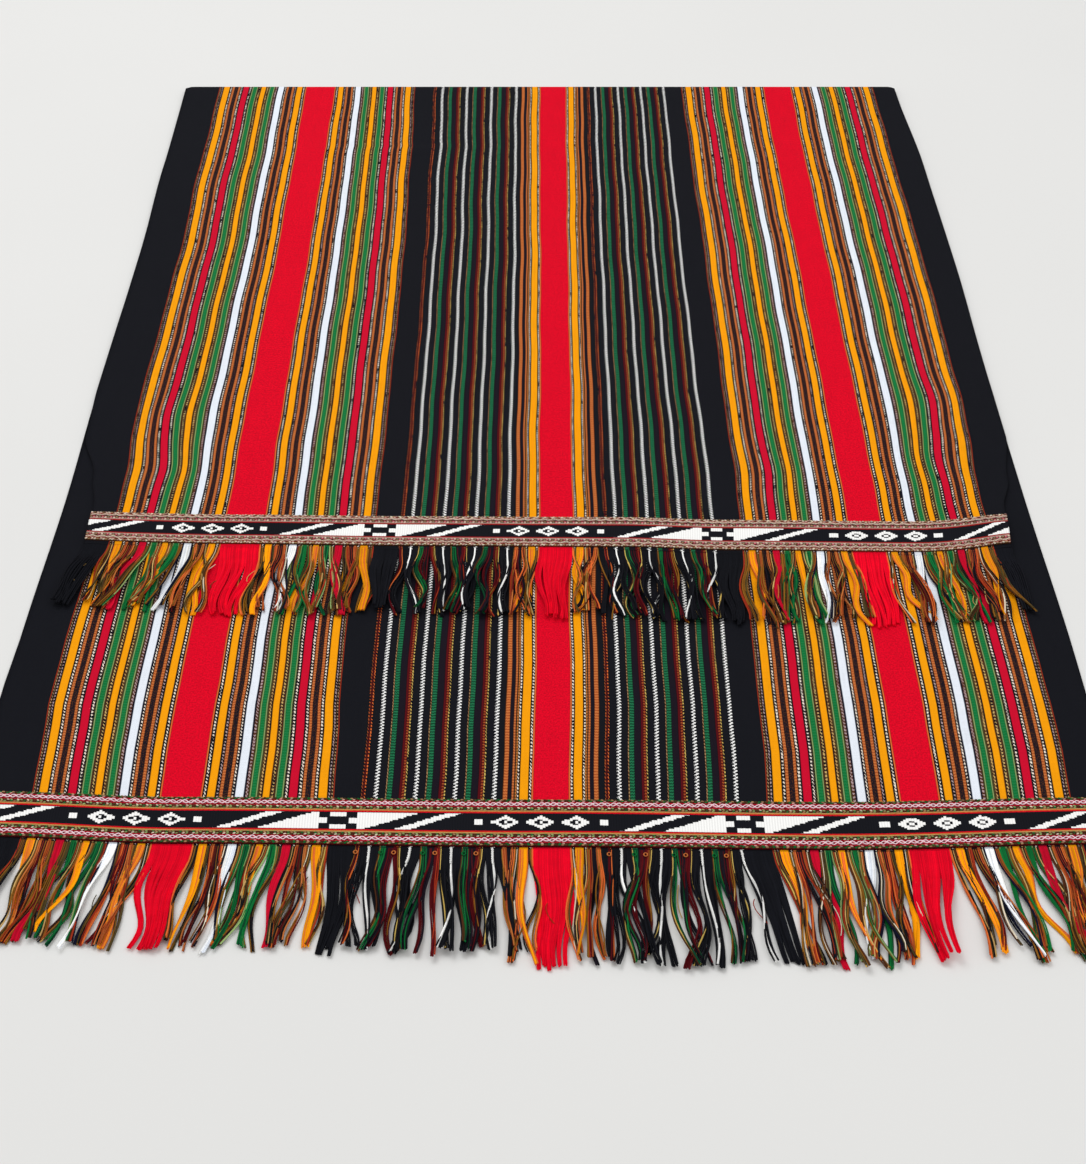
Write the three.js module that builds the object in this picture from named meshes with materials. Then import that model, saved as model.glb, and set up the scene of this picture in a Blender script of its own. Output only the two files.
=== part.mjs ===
// Aso oke wrapper: one length of striped, loom-woven cloth, laid flat and folded once over
// its far edge, with a patterned band and a fringe across each of its two ends.
// Millimetres, +Z up. The origin lies under the middle of the folded cloth, on the surface
// that it rests on, and +Y points towards the fold.

import * as THREE from 'three';

// Cloth and fold
const CLOTH_THICK = 1.2;
const LAYER_GAP = 0.6; // air between the lower layer and the flap
const LOOP_RADIUS = 1.5; // middle of the cloth, where it turns back over itself
const LOOP_EASE = 75; // distance over which the flap comes down from the fold
const FOLD_Y = 692.5; // outermost line of the fold
const FRONT_END_Y = -579; // the cloth's front end at its middle
const FLAP_END_Y = -225; // the flap's end at its middle
const END_EASE = 190; // distance over which a slanting end straightens out

// Bands and fringes
const PIECE_GAP = 0.3; // between pieces that touch in the real cloth
const BAND_SHOW = 4.5; // cloth that shows between a band and its fringe
const FRONT_BAND_HEIGHT = 47.5;
const FLAP_BAND_HEIGHT = 41;
const LOCK_THICK = 1.6;
const LOCK_ROOT = 13; // undivided head of a fringe, above its locks
const HEAD_REACH = 26; // how far a fringe follows the lift of the cloth's end
const LOCK_SLIT = 0.9; // width of the slit between two locks at the head

// Mesh steps
const ACROSS_STEPS = 24;
const LOWER_STEPS = 12;
const LOOP_STEPS = 8;
const EASE_STEPS = 5;
const FLAP_STEPS = 15;
const EDGE_CROWD = 0.6; // how much the steps across crowd towards the side edges

// Side edges of the lower layer, from the front end to the fold
const LOWER_EDGES = [
  { y: -700, left: -386, right: 386 },
  { y: -575, left: -387, right: 386.5 },
  { y: -526, left: -389, right: 388 },
  { y: -475, left: -396, right: 395 },
  { y: -411, left: -400, right: 399 },
  { y: -315, left: -398.5, right: 399.7 },
  { y: -150, left: -396.5, right: 398.5 },
  { y: 30, left: -398.5, right: 399 },
  { y: 220, left: -397.5, right: 401.5 },
  { y: 318, left: -400, right: 402.5 },
  { y: 486, left: -402, right: 401.5 },
  { y: 590, left: -403, right: 398.5 },
  { y: 700, left: -404, right: 395.5 },
];

// Side edges of the flap, which draws in towards its band
const FLAP_EDGES = [
  { y: -330, left: -369, right: 373 },
  { y: -220, left: -370, right: 374 },
  { y: -168, left: -371.5, right: 378 },
  { y: -120, left: -379, right: 389 },
  { y: -50, left: -396, right: 398.5 },
  { y: 30, left: -398.5, right: 399 },
  { y: 220, left: -397.5, right: 401.5 },
  { y: 318, left: -400, right: 402.5 },
  { y: 486, left: -402, right: 401.5 },
  { y: 590, left: -403, right: 398.5 },
  { y: 700, left: -404, right: 395.5 },
];

// How far an end lies beyond (+) or short of (-) its middle, from left to right
const FRONT_SLANT = [
  { x: -390, rise: 11 },
  { x: -250, rise: 3.5 },
  { x: 0, rise: 0 },
  { x: 200, rise: -3 },
  { x: 390, rise: 3 },
];
const FLAP_SLANT = [
  { x: -374, rise: 8 },
  { x: -250, rise: 4 },
  { x: -100, rise: 1 },
  { x: 0, rise: 0 },
  { x: 60, rise: -0.5 },
  { x: 150, rise: -5 },
  { x: 300, rise: -7.5 },
  { x: 379, rise: 0 },
];

// Soft ridges of the flap: where they are, how far they reach and how high they stand
const FLAP_RIDGES = [
  { x: -150, y: 522, reachX: 75, reachY: 9, high: 0.9 },
  { x: -352, y: -75, reachX: 24, reachY: 60, high: 1.6 },
  { x: 352, y: -60, reachX: 24, reachY: 70, high: 1.8 },
  { x: 60, y: 250, reachX: 160, reachY: 120, high: 0.5 },
  { x: -230, y: 130, reachX: 90, reachY: 150, high: 0.5 },
  { x: 382, y: -205, reachX: 30, reachY: 45, high: 4.2 },
  { x: -378, y: -205, reachX: 24, reachY: 40, high: 1.4 },
];

// A band's section, from its far edge (0) to its near edge (1): raised edgings, lower middle
const BAND_SECTION = [
  { at: 0.0, high: 0.6 },
  { at: 0.05, high: 1.7 },
  { at: 0.15, high: 2.1 },
  { at: 0.25, high: 1.7 },
  { at: 0.3, high: 1.2 },
  { at: 0.7, high: 1.2 },
  { at: 0.75, high: 1.7 },
  { at: 0.85, high: 2.1 },
  { at: 0.95, high: 1.7 },
  { at: 1.0, high: 0.6 },
];

// Fringes, a row for each stretch: how many locks, their length and how far their tips lean
const FRONT_LOCKS = [
  { upTo: -330, locks: 4, long: 88, lean: -9 },
  { upTo: -240, locks: 5, long: 96, lean: -10 },
  { upTo: -120, locks: 7, long: 97, lean: -5 },
  { upTo: 0, locks: 7, long: 100, lean: 0 },
  { upTo: 120, locks: 7, long: 107, lean: 4 },
  { upTo: 240, locks: 7, long: 103, lean: 6 },
  { upTo: 330, locks: 5, long: 100, lean: 9 },
  { upTo: 400, locks: 4, long: 98, lean: 13 },
];
const FLAP_LOCKS = [
  { upTo: -320, locks: 3, long: 82, lean: -15 },
  { upTo: -230, locks: 5, long: 88, lean: -6 },
  { upTo: -120, locks: 6, long: 89, lean: 0 },
  { upTo: 0, locks: 7, long: 88, lean: 0 },
  { upTo: 120, locks: 7, long: 92, lean: 1 },
  { upTo: 230, locks: 6, long: 92, lean: 2 },
  { upTo: 320, locks: 5, long: 91, lean: 7 },
  { upTo: 400, locks: 3, long: 87, lean: 8 },
];
const LOCK_UNEVEN = 7; // how much longer or shorter a lock may be than its row says
const UNEVEN_WAVES = [
  { turn: 2.399, share: 0.6 },
  { turn: 5.17, share: 0.4 },
];

// A lock's waist and tip: depth below its root and width as shares of its length and its root,
// and the share of its lean that the waist has
const WAIST = { depth: 0.55, width: 0.78, lean: 0.4 };
const TIP = { width: 0.42, round: 3 };

const COLOURS = {
  cloth: 0x1b1c1f,
  band: 0xd9d4cc,
  frontFringe: 0xc4402c,
  flapFringe: 0xb8742a,
};

function finish(color) {
  return new THREE.MeshStandardMaterial({ color, roughness: 0.9, metalness: 0 });
}

// Smooth value of one column of a table at a place along another column
function follow(rows, along, column, place) {
  const last = rows.length - 1;
  if (place <= rows[0][along]) return rows[0][column];
  if (place >= rows[last][along]) return rows[last][column];
  const next = rows.findIndex((row) => row[along] > place);
  const [a, b] = [rows[next - 1], rows[next]];
  const share = THREE.MathUtils.smoothstep(place, a[along], b[along]);
  return THREE.MathUtils.lerp(a[column], b[column], share);
}

const FLAP_MIDDLE_Z = CLOTH_THICK * 1.5 + LAYER_GAP;
const FLAP_TOP_Z = CLOTH_THICK * 2 + LAYER_GAP;

function ridgeHeight(x, y) {
  return FLAP_RIDGES.reduce((sum, ridge) => {
    const dx = (x - ridge.x) / ridge.reachX;
    const dy = (y - ridge.y) / ridge.reachY;
    return sum + ridge.high * Math.exp(-dx * dx - dy * dy);
  }, 0);
}

// Share of the width at a step across, from 0 (left edge) to 1 (right edge)
function acrossAt(i) {
  const share = i / ACROSS_STEPS;
  const crowded = (1 - Math.cos(Math.PI * share)) / 2;
  return THREE.MathUtils.lerp(share, crowded, EDGE_CROWD);
}

// Line of a band's section, on the cloth whose end is at endY
function bandRowY(endY, height, at) {
  return endY + BAND_SHOW + height * (1 - at);
}

// Middle line of the cloth, from its front end, round the fold, to the flap's end. A station
// has a place (y, z), the direction that the cloth's first face looks in, and its layer.
function clothStations() {
  const stations = [];
  const loopY = FOLD_Y - LOOP_RADIUS - CLOTH_THICK / 2;
  const loopZ = CLOTH_THICK / 2 + LOOP_RADIUS;
  for (let i = 0; i < LOWER_STEPS; i += 1) {
    const y = THREE.MathUtils.lerp(FRONT_END_Y, loopY, i / LOWER_STEPS);
    stations.push({ y, z: CLOTH_THICK / 2, faceY: 0, faceZ: -1, flap: 0 });
  }
  for (let i = 0; i < LOOP_STEPS; i += 1) {
    const turn = (Math.PI * i) / LOOP_STEPS;
    stations.push({
      y: loopY + LOOP_RADIUS * Math.sin(turn),
      z: loopZ - LOOP_RADIUS * Math.cos(turn),
      faceY: Math.sin(turn),
      faceZ: -Math.cos(turn),
      flap: 0,
    });
  }
  const fall = loopZ + LOOP_RADIUS - FLAP_MIDDLE_Z;
  for (let i = 0; i < EASE_STEPS; i += 1) {
    const down = THREE.MathUtils.smootherstep(i / EASE_STEPS, 0, 1);
    const z = FLAP_MIDDLE_Z + fall * (1 - down);
    stations.push({ y: loopY - (LOOP_EASE * i) / EASE_STEPS, z, faceY: 0, faceZ: 1, flap: down });
  }
  const flapRows = [];
  const bandLine = (at) => bandRowY(FLAP_END_Y, FLAP_BAND_HEIGHT, at);
  for (let i = 0; i < FLAP_STEPS; i += 1) {
    flapRows.push(THREE.MathUtils.lerp(loopY - LOOP_EASE, bandLine(0), i / FLAP_STEPS));
  }
  BAND_SECTION.forEach(({ at }) => flapRows.push(bandLine(at)));
  flapRows.push(FLAP_END_Y);
  flapRows.forEach((y) => stations.push({ y, z: FLAP_MIDDLE_Z, faceY: 0, faceZ: 1, flap: 1 }));
  return stations;
}

// Places a point of a layer: across runs from 0 (left edge) to 1 (right edge)
function layerPoint(across, y, edges, slant, endY) {
  const left = follow(edges, 'y', 'left', y);
  const right = follow(edges, 'y', 'right', y);
  const x = THREE.MathUtils.lerp(left, right, across);
  const near = 1 - THREE.MathUtils.smoothstep(y, endY, endY + END_EASE);
  return { x, y: y + near * follow(slant, 'x', 'rise', x) };
}

function lowerPoint(across, y) {
  return layerPoint(across, y, LOWER_EDGES, FRONT_SLANT, FRONT_END_Y);
}

function flapPoint(across, y) {
  return layerPoint(across, y, FLAP_EDGES, FLAP_SLANT, FLAP_END_Y);
}

// Bends a box of many steps: place(i, j, side) gives each point from its steps and its face
function bentSheet(stepsAcross, stepsAlong, place) {
  const sheet = new THREE.BoxGeometry(1, 1, 1, stepsAcross, stepsAlong, 1);
  const points = sheet.attributes.position;
  for (let n = 0; n < points.count; n += 1) {
    const i = Math.round((points.getX(n) + 0.5) * stepsAcross);
    const j = Math.round((points.getY(n) + 0.5) * stepsAlong);
    const bent = place(i, j, points.getZ(n) > 0);
    points.setXYZ(n, bent.x, bent.y, bent.z);
  }
  return sheet;
}

function clothGeometry() {
  const stations = clothStations();
  return bentSheet(ACROSS_STEPS, stations.length - 1, (i, j, outer) => {
    const { y, z, faceY, faceZ, flap } = stations[j];
    const upper = j >= LOWER_STEPS;
    const { x, y: laidY } = (upper ? flapPoint : lowerPoint)(acrossAt(i), y);
    const half = (outer ? -1 : 1) * (CLOTH_THICK / 2);
    return {
      x,
      y: laidY + faceY * half,
      z: z + faceZ * half + flap * ridgeHeight(x, laidY),
    };
  });
}

// A band lies on one cloth end: point(across, y) is that layer and lift(x, y) its top face
function bandGeometry(point, lift, endY, height) {
  const rows = BAND_SECTION.length - 1;
  return bentSheet(ACROSS_STEPS, rows, (i, j, outer) => {
    const { at, high } = BAND_SECTION[rows - j];
    const { x, y } = point(acrossAt(i), bandRowY(endY, height, at));
    return { x, y, z: lift(x, y) + PIECE_GAP + (outer ? high : 0) };
  });
}

// A steady number from -1 to 1 for the k-th lock, so that no two neighbours are alike
function uneven(k) {
  return UNEVEN_WAVES.reduce((sum, { turn, share }) => sum + Math.sin((k + 1) * turn) * share, 0);
}

// Locks of a fringe from left to right: root edges, tip place and length
function fringeLocks(rows, left, right) {
  const locks = [];
  let from = left;
  rows.forEach(({ upTo, locks: count, long, lean }) => {
    const to = Math.min(upTo, right);
    const pitch = (to - from) / count;
    for (let k = 0; k < count; k += 1) {
      const root = from + k * pitch;
      locks.push({ root, pitch, lean, long: long + LOCK_UNEVEN * uneven(locks.length) });
    }
    from = to;
  });
  return locks;
}

// A fringe is a flat comb: its head follows the cloth's end, its locks point away from it
function fringeGeometry(point, endY, rows, bottomZ, lift) {
  const head = [];
  for (let i = 0; i <= ACROSS_STEPS; i += 1) {
    const { x, y } = point(acrossAt(i), endY);
    head.push(new THREE.Vector2(x, y - PIECE_GAP));
  }
  const headY = (x) => {
    const next = Math.max(1, head.findIndex((corner) => corner.x >= x));
    const [a, b] = [head[next - 1], head[next]];
    return THREE.MathUtils.mapLinear(x, a.x, b.x, a.y, b.y);
  };
  const locks = fringeLocks(rows, head[0].x, head[ACROSS_STEPS].x);
  const outline = new THREE.Shape(head);
  locks.reverse().forEach(({ root, pitch, lean, long }) => {
    const [west, east] = [root + LOCK_SLIT / 2, root + pitch - LOCK_SLIT / 2];
    const middle = root + pitch / 2;
    const topY = headY(middle);
    const tipX = middle + lean;
    const tip = (pitch * TIP.width) / 2;
    const waistY = topY - long * WAIST.depth;
    const waist = (pitch * WAIST.width) / 2;
    const waistX = middle + lean * WAIST.lean;
    outline.lineTo(east, topY - LOCK_ROOT);
    outline.lineTo(waistX + waist, waistY);
    outline.lineTo(tipX + tip, topY - long + TIP.round);
    outline.lineTo(tipX, topY - long);
    outline.lineTo(tipX - tip, topY - long + TIP.round);
    outline.lineTo(waistX - waist, waistY);
    outline.lineTo(west, topY - LOCK_ROOT);
  });
  const comb = new THREE.ExtrudeGeometry(outline, { depth: LOCK_THICK, bevelEnabled: false });
  const points = comb.attributes.position;
  for (let n = 0; n < points.count; n += 1) {
    const [x, y, z] = [points.getX(n), points.getY(n), points.getZ(n)];
    const near = THREE.MathUtils.smoothstep(y, headY(x) - HEAD_REACH, headY(x));
    points.setZ(n, bottomZ + z + near * lift(x, y));
  }
  return comb;
}

const wrapper = new THREE.Group();

function addPiece(name, geometry, color) {
  const piece = new THREE.Mesh(geometry, finish(color));
  piece.name = name;
  wrapper.add(piece);
}

const onLower = () => CLOTH_THICK;
const onFlap = (x, y) => FLAP_TOP_Z + ridgeHeight(x, y);
const flat = () => 0;

addPiece('striped_cloth', clothGeometry(), COLOURS.cloth);
addPiece(
  'front_band',
  bandGeometry(lowerPoint, onLower, FRONT_END_Y, FRONT_BAND_HEIGHT),
  COLOURS.band,
);
addPiece(
  'flap_band',
  bandGeometry(flapPoint, onFlap, FLAP_END_Y, FLAP_BAND_HEIGHT),
  COLOURS.band,
);
addPiece(
  'front_fringe',
  fringeGeometry(lowerPoint, FRONT_END_Y, FRONT_LOCKS, 0, flat),
  COLOURS.frontFringe,
);
addPiece(
  'flap_fringe',
  fringeGeometry(flapPoint, FLAP_END_Y, FLAP_LOCKS, CLOTH_THICK + PIECE_GAP, ridgeHeight),
  COLOURS.flapFringe,
);

export default wrapper;
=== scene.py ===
"""Looks of the aso oke wrapper: striped cloth, two patterned bands and two warp fringes."""
import logging
import math
from dataclasses import dataclass, field
from enum import Enum
from typing import Callable, Sequence

import bpy
import numpy as np
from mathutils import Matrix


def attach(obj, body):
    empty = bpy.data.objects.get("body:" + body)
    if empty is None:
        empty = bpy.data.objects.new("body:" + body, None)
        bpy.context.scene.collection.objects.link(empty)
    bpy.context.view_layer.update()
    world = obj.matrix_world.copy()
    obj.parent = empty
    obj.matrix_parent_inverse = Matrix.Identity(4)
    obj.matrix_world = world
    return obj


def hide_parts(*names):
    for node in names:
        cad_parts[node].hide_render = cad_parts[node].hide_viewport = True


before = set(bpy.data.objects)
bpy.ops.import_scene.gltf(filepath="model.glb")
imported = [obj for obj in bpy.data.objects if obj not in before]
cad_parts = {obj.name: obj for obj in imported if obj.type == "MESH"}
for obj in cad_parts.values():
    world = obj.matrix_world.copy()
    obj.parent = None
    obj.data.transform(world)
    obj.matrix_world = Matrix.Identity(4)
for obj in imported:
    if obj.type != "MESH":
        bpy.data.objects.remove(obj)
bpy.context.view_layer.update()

logging.basicConfig(level=logging.INFO, format="%(message)s")
LOG = logging.getLogger("wrapper")

MM = 0.001
BODY = "root"
SEED = 41
SHINE = 0.06
TURN = 2 * math.pi

Colour = tuple[float, float, float]
Array = np.ndarray


def linear(red: int, green: int, blue: int) -> Colour:
    """Turns a screen colour into a linear one.

    Args:
        red: Red from 0 to 255.
        green: Green from 0 to 255.
        blue: Blue from 0 to 255.

    Returns:
        The linear colour, each part from 0 to 1.
    """
    parts = []
    for part in (red, green, blue):
        share = part / 255
        parts.append(share / 12.92 if share <= 0.04045 else ((share + 0.055) / 1.055) ** 2.4)
    return tuple(parts)


class Yarn(Enum):
    """The dyed yarns of the warp and of the bands."""

    BLACK = linear(20, 21, 27)
    NAVY = linear(20, 22, 44)
    RED = linear(235, 2, 38)
    CRIMSON = linear(204, 10, 46)
    MAROON = linear(88, 12, 20)
    BRICK = linear(160, 52, 28)
    YELLOW = linear(248, 160, 8)
    GOLD = linear(214, 182, 96)
    OCHRE = linear(138, 92, 30)
    ORANGE = linear(228, 112, 52)
    RUST = linear(166, 80, 38)
    BROWN = linear(82, 46, 26)
    OLIVE = linear(78, 66, 36)
    TAN = linear(172, 138, 96)
    GREEN = linear(14, 112, 54)
    LEAF = linear(146, 172, 108)
    LILAC = linear(180, 156, 158)
    WHITE = linear(234, 240, 250)
    CREAM = linear(226, 214, 190)
    ROSE = linear(206, 92, 110)
    PINK = linear(253, 226, 234)
    GREY = linear(120, 116, 104)
    INK = linear(26, 20, 30)
    PINE = linear(10, 66, 42)
    SAND = linear(206, 170, 104)
    SCARLET = linear(184, 4, 30)
    BLEACHED = linear(252, 252, 250)
    DUSTY = linear(204, 160, 150)
    COPPER = linear(206, 120, 62)
    EMERALD = linear(30, 124, 68)
    JADE = linear(36, 118, 78)
    PEARL = linear(246, 232, 216)


class Weave(Enum):
    """How a stripe is woven; the shader reads the number."""

    PLAIN = 0
    DOTTED = 1
    BRAID = 2
    SPECKLED = 3
    TWILL = 4
    RIBBED = 5


@dataclass(frozen=True)
class Stripe:
    """One warp stripe: its width in mm, its yarn, its weave and its second yarn."""

    wide: float
    yarn: Yarn
    weave: Weave = Weave.PLAIN
    fleck: Yarn = Yarn.BLACK


def read_stripes(words: str) -> tuple[Stripe, ...]:
    """Reads a row of stripes.

    Args:
        words: Stripes with commas between them: width in mm, yarn, and any weave with its second yarn.

    Returns:
        The stripes in order.
    """
    found = []
    for entry in words.split(","):
        wide, yarn, *rest = entry.split()
        second = (Weave[rest[0]], Yarn[rest[1]]) if rest else ()
        found.append(Stripe(float(wide), Yarn[yarn], *second))
    return tuple(found)


OUTER_GROUP = read_stripes(
    "0.9 BRICK, 1.4 BLACK DOTTED TAN, 0.6 BROWN, 1.4 BLACK DOTTED LILAC, 0.8 BLACK, 6.2 YELLOW, "
    "0.8 BLACK, 1.9 BLACK DOTTED PEARL, 0.4 BROWN, 2.4 RUST RIBBED COPPER, 3.9 INK SPECKLED BROWN, "
    "2.2 RUST RIBBED COPPER, 0.4 BROWN, 2.2 BLACK DOTTED PEARL, 0.8 BLACK, 6.1 CRIMSON, 0.8 BLACK, "
    "1.9 BLACK DOTTED PEARL, 1.2 BLACK DOTTED OLIVE, 1 LEAF, 3.8 GREEN RIBBED EMERALD, 0.9 LEAF, "
    "1.2 BROWN, 2 BLACK DOTTED SAND, 0.9 BROWN, 4.9 YELLOW, 0.9 BLACK, 1.8 BROWN DOTTED SAND, "
    "1.3 OLIVE, 1 LEAF, 3.5 GREEN RIBBED EMERALD, 1 LEAF, 0.9 OLIVE, 2.2 BROWN DOTTED LILAC, 1.1 NAVY, "
    "6.2 WHITE, 1 NAVY, 1.6 BLACK DOTTED PEARL, 0.4 BROWN, 2.3 RUST RIBBED COPPER, "
    "3.7 INK SPECKLED BROWN, 2.5 RUST RIBBED COPPER, 0.4 BROWN, 1.8 BLACK DOTTED LILAC, 0.9 BLACK, "
    "5.7 YELLOW, 0.9 BLACK, 1.9 BLACK DOTTED PEARL, 0.7 BLACK, 1.2 ORANGE"
)

SHOULDER = read_stripes(
    "0.5 BROWN, 3.2 RUST RIBBED COPPER, 2.8 INK, 1.6 RUST RIBBED COPPER, 0.6 BLACK, "
    "1.3 OCHRE RIBBED COPPER, 1.5 BLACK DOTTED PEARL, 0.6 BLACK, 6 YELLOW, 0.5 BLACK, "
    "1.8 BLACK DOTTED PEARL, 1.2 ORANGE"
)

CORD_REPEAT = read_stripes(
    "3.4 BLACK BRAID BLEACHED, 4.8 BLACK, 1 BROWN DOTTED TAN, 3.6 PINE RIBBED JADE, 4.9 INK, "
    "1.8 MAROON, 1.8 MAROON RIBBED RUST, 1.3 BLACK DOTTED GOLD, 4.9 BLACK"
)

CORD_START = read_stripes("1.2 BLACK DOTTED RUST, 1 MAROON, 1.2 BLACK DOTTED ORANGE, 5.2 BLACK")
CORD_END = read_stripes("3.4 BLACK BRAID BLEACHED")
CORDS = CORD_START + CORD_REPEAT * 3 + CORD_END
GAP_STRIPE = read_stripes("4.0 BLACK")
WIDE_RED = read_stripes("28.0 RED TWILL SCARLET")
BLACK_BAND = read_stripes("21.0 BLACK")
MARGIN = read_stripes("38.0 BLACK")

# The cloth from its left edge to its right edge, a section for each pair of places across below
SECTIONS: tuple[tuple[Stripe, ...], ...] = (
    MARGIN,
    OUTER_GROUP,
    WIDE_RED,
    OUTER_GROUP[::-1],
    BLACK_BAND,
    CORDS + GAP_STRIPE + SHOULDER,
    WIDE_RED,
    SHOULDER[::-1] + GAP_STRIPE + CORDS,
    BLACK_BAND,
    OUTER_GROUP,
    WIDE_RED,
    OUTER_GROUP[::-1],
    MARGIN,
)

# Where the sections meet at some lines, in mm: the line's y, then the places across, left to right
LOWER_PLACES = (
    (-585, -387, -356, -266, -239, -146, -128, -8, 17, 135, 154, 246, 273, 365, 386.5),
    (-526, -389, -357, -266.5, -239, -146, -128, -8, 17, 135, 154, 247, 273.5, 366, 388),
    (-475, -396, -360, -268, -240, -147.5, -128, -7, 18, 136, 156, 249, 275.5, 369, 395),
    (-411, -400, -363, -269.5, -241.5, -150, -128.5, -6, 19, 137, 157, 250, 276.5, 371, 399),
    (-330, -398.5, -364, -270, -242, -151, -129, -6, 19, 138, 158, 250, 277, 372, 399.7),
    (-150, -396.5, -362, -267, -238, -147, -126, -5, 21, 138, 158, 249, 277, 372, 398.5),
    (30, -398.5, -361, -265, -235, -143, -122, -4, 23, 138, 158, 249, 277, 372, 399),
    (276, -399, -362, -265, -234, -142, -121, -4, 24, 138, 158, 249, 278, 373, 402),
    (486, -402, -365, -267, -235, -144, -123, -4, 24, 137, 156, 249, 278, 372, 401.5),
    (700, -404, -366, -268, -236, -145, -124, -4, 24, 136.5, 155, 248, 278, 371.5, 395.5),
)

FLAP_PLACES = (
    (-230, -370, -350, -260, -229, -137, -117, -3.5, 22.5, 138, 159, 247, 273, 360, 374),
    (-168, -371.5, -351, -260, -228.5, -137, -117, -3.5, 23, 139, 160, 248, 274, 361, 378),
    (-120, -379, -352, -260, -228.5, -137, -117, -3.5, 23, 139, 160, 248.5, 275, 363, 389),
    (-50, -396, -356, -261, -230, -137, -117, -3.5, 23, 138, 159, 249, 276, 367, 398.5),
    (30, -398.5, -358, -262, -231, -137, -117, -3, 23, 137, 159, 249, 276, 370, 399),
    (276, -398, -359, -262.5, -232, -137.5, -118, -3, 23, 136, 158, 249, 277, 372, 402),
    (486, -402, -364, -265, -234, -141, -121, -4, 23.5, 136, 156, 248, 277, 371.5, 401.5),
    (700, -404, -366, -268, -236, -145, -124, -4, 24, 136.5, 155, 248, 278, 371.5, 395.5),
)

# How far an end lies beyond (+) or short of (-) its middle: x and rise, in mm
FRONT_SLANT = ((-390, 11.0), (-250, 3.5), (0, 0.0), (200, -3.0), (390, 3.0))
FLAP_SLANT = (
    (-374, 8.0), (-250, 4.0), (-100, 1.0), (0, 0.0), (60, -0.5), (150, -5.0), (300, -7.5), (379, 0.0),
)


@dataclass(frozen=True)
class Ridge:
    """A soft ridge (or trough) of the flap, in mm; slide moves the stripes sideways there."""

    x: float
    y: float
    reach_x: float
    reach_y: float
    high: float
    slide: float = 0.0


RIDGES = tuple(Ridge(*row) for row in (
    (-150, 522, 75, 7, 1.3), (-150, 534, 80, 11, 0.0, 1.0), (8, 500, 34, 6, 0.9),
    (-352, -75, 24, 60, 1.6), (352, -60, 24, 70, 1.8), (60, 250, 160, 120, 0.5),
    (-230, 130, 90, 150, 0.5), (382, -205, 30, 45, 4.2), (-378, -205, 24, 40, 1.4),
    (-322, -20, 26, 34, 0.0, -2.2), (-318, -105, 26, 28, 0.0, 2.4), (340, 10, 24, 38, 0.0, 2.0),
    (332, -85, 24, 30, 0.0, -2.6), (190, -110, 30, 24, 0.0, 1.6),
))


def smooth(low: float | Array, high: float | Array, at: Array) -> Array:
    """Returns the smooth step of at between low and high."""
    share = np.clip((at - low) / (high - low), 0, 1)
    return share * share * (3 - 2 * share)


def follow(places: Sequence[float], values: Sequence[float], at: Array) -> Array:
    """Eases from value to value along a table.

    Args:
        places: Rising places.
        values: The value at each place.
        at: Where to read the table.

    Returns:
        The eased values.
    """
    spots = np.asarray(places, float)
    levels = np.asarray(values, float)
    at = np.clip(at, spots[0], spots[-1])
    row = np.clip(np.searchsorted(spots, at, side="right"), 1, len(spots) - 1)
    share = smooth(spots[row - 1], spots[row], at)
    return levels[row - 1] + (levels[row] - levels[row - 1]) * share


def ridge_sum(x: Array, y: Array, column: str) -> Array:
    """Sums one column of the ridges at some places.

    Args:
        x: Places across, in mm.
        y: Places along, in mm.
        column: The ridge's field to sum, high or slide.

    Returns:
        The sums, in mm.
    """
    total = np.zeros(np.broadcast(x, y).shape)
    for ridge in RIDGES:
        near = np.exp(-(((x - ridge.x) / ridge.reach_x) ** 2) - ((y - ridge.y) / ridge.reach_y) ** 2)
        total = total + getattr(ridge, column) * near
    return total


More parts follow.
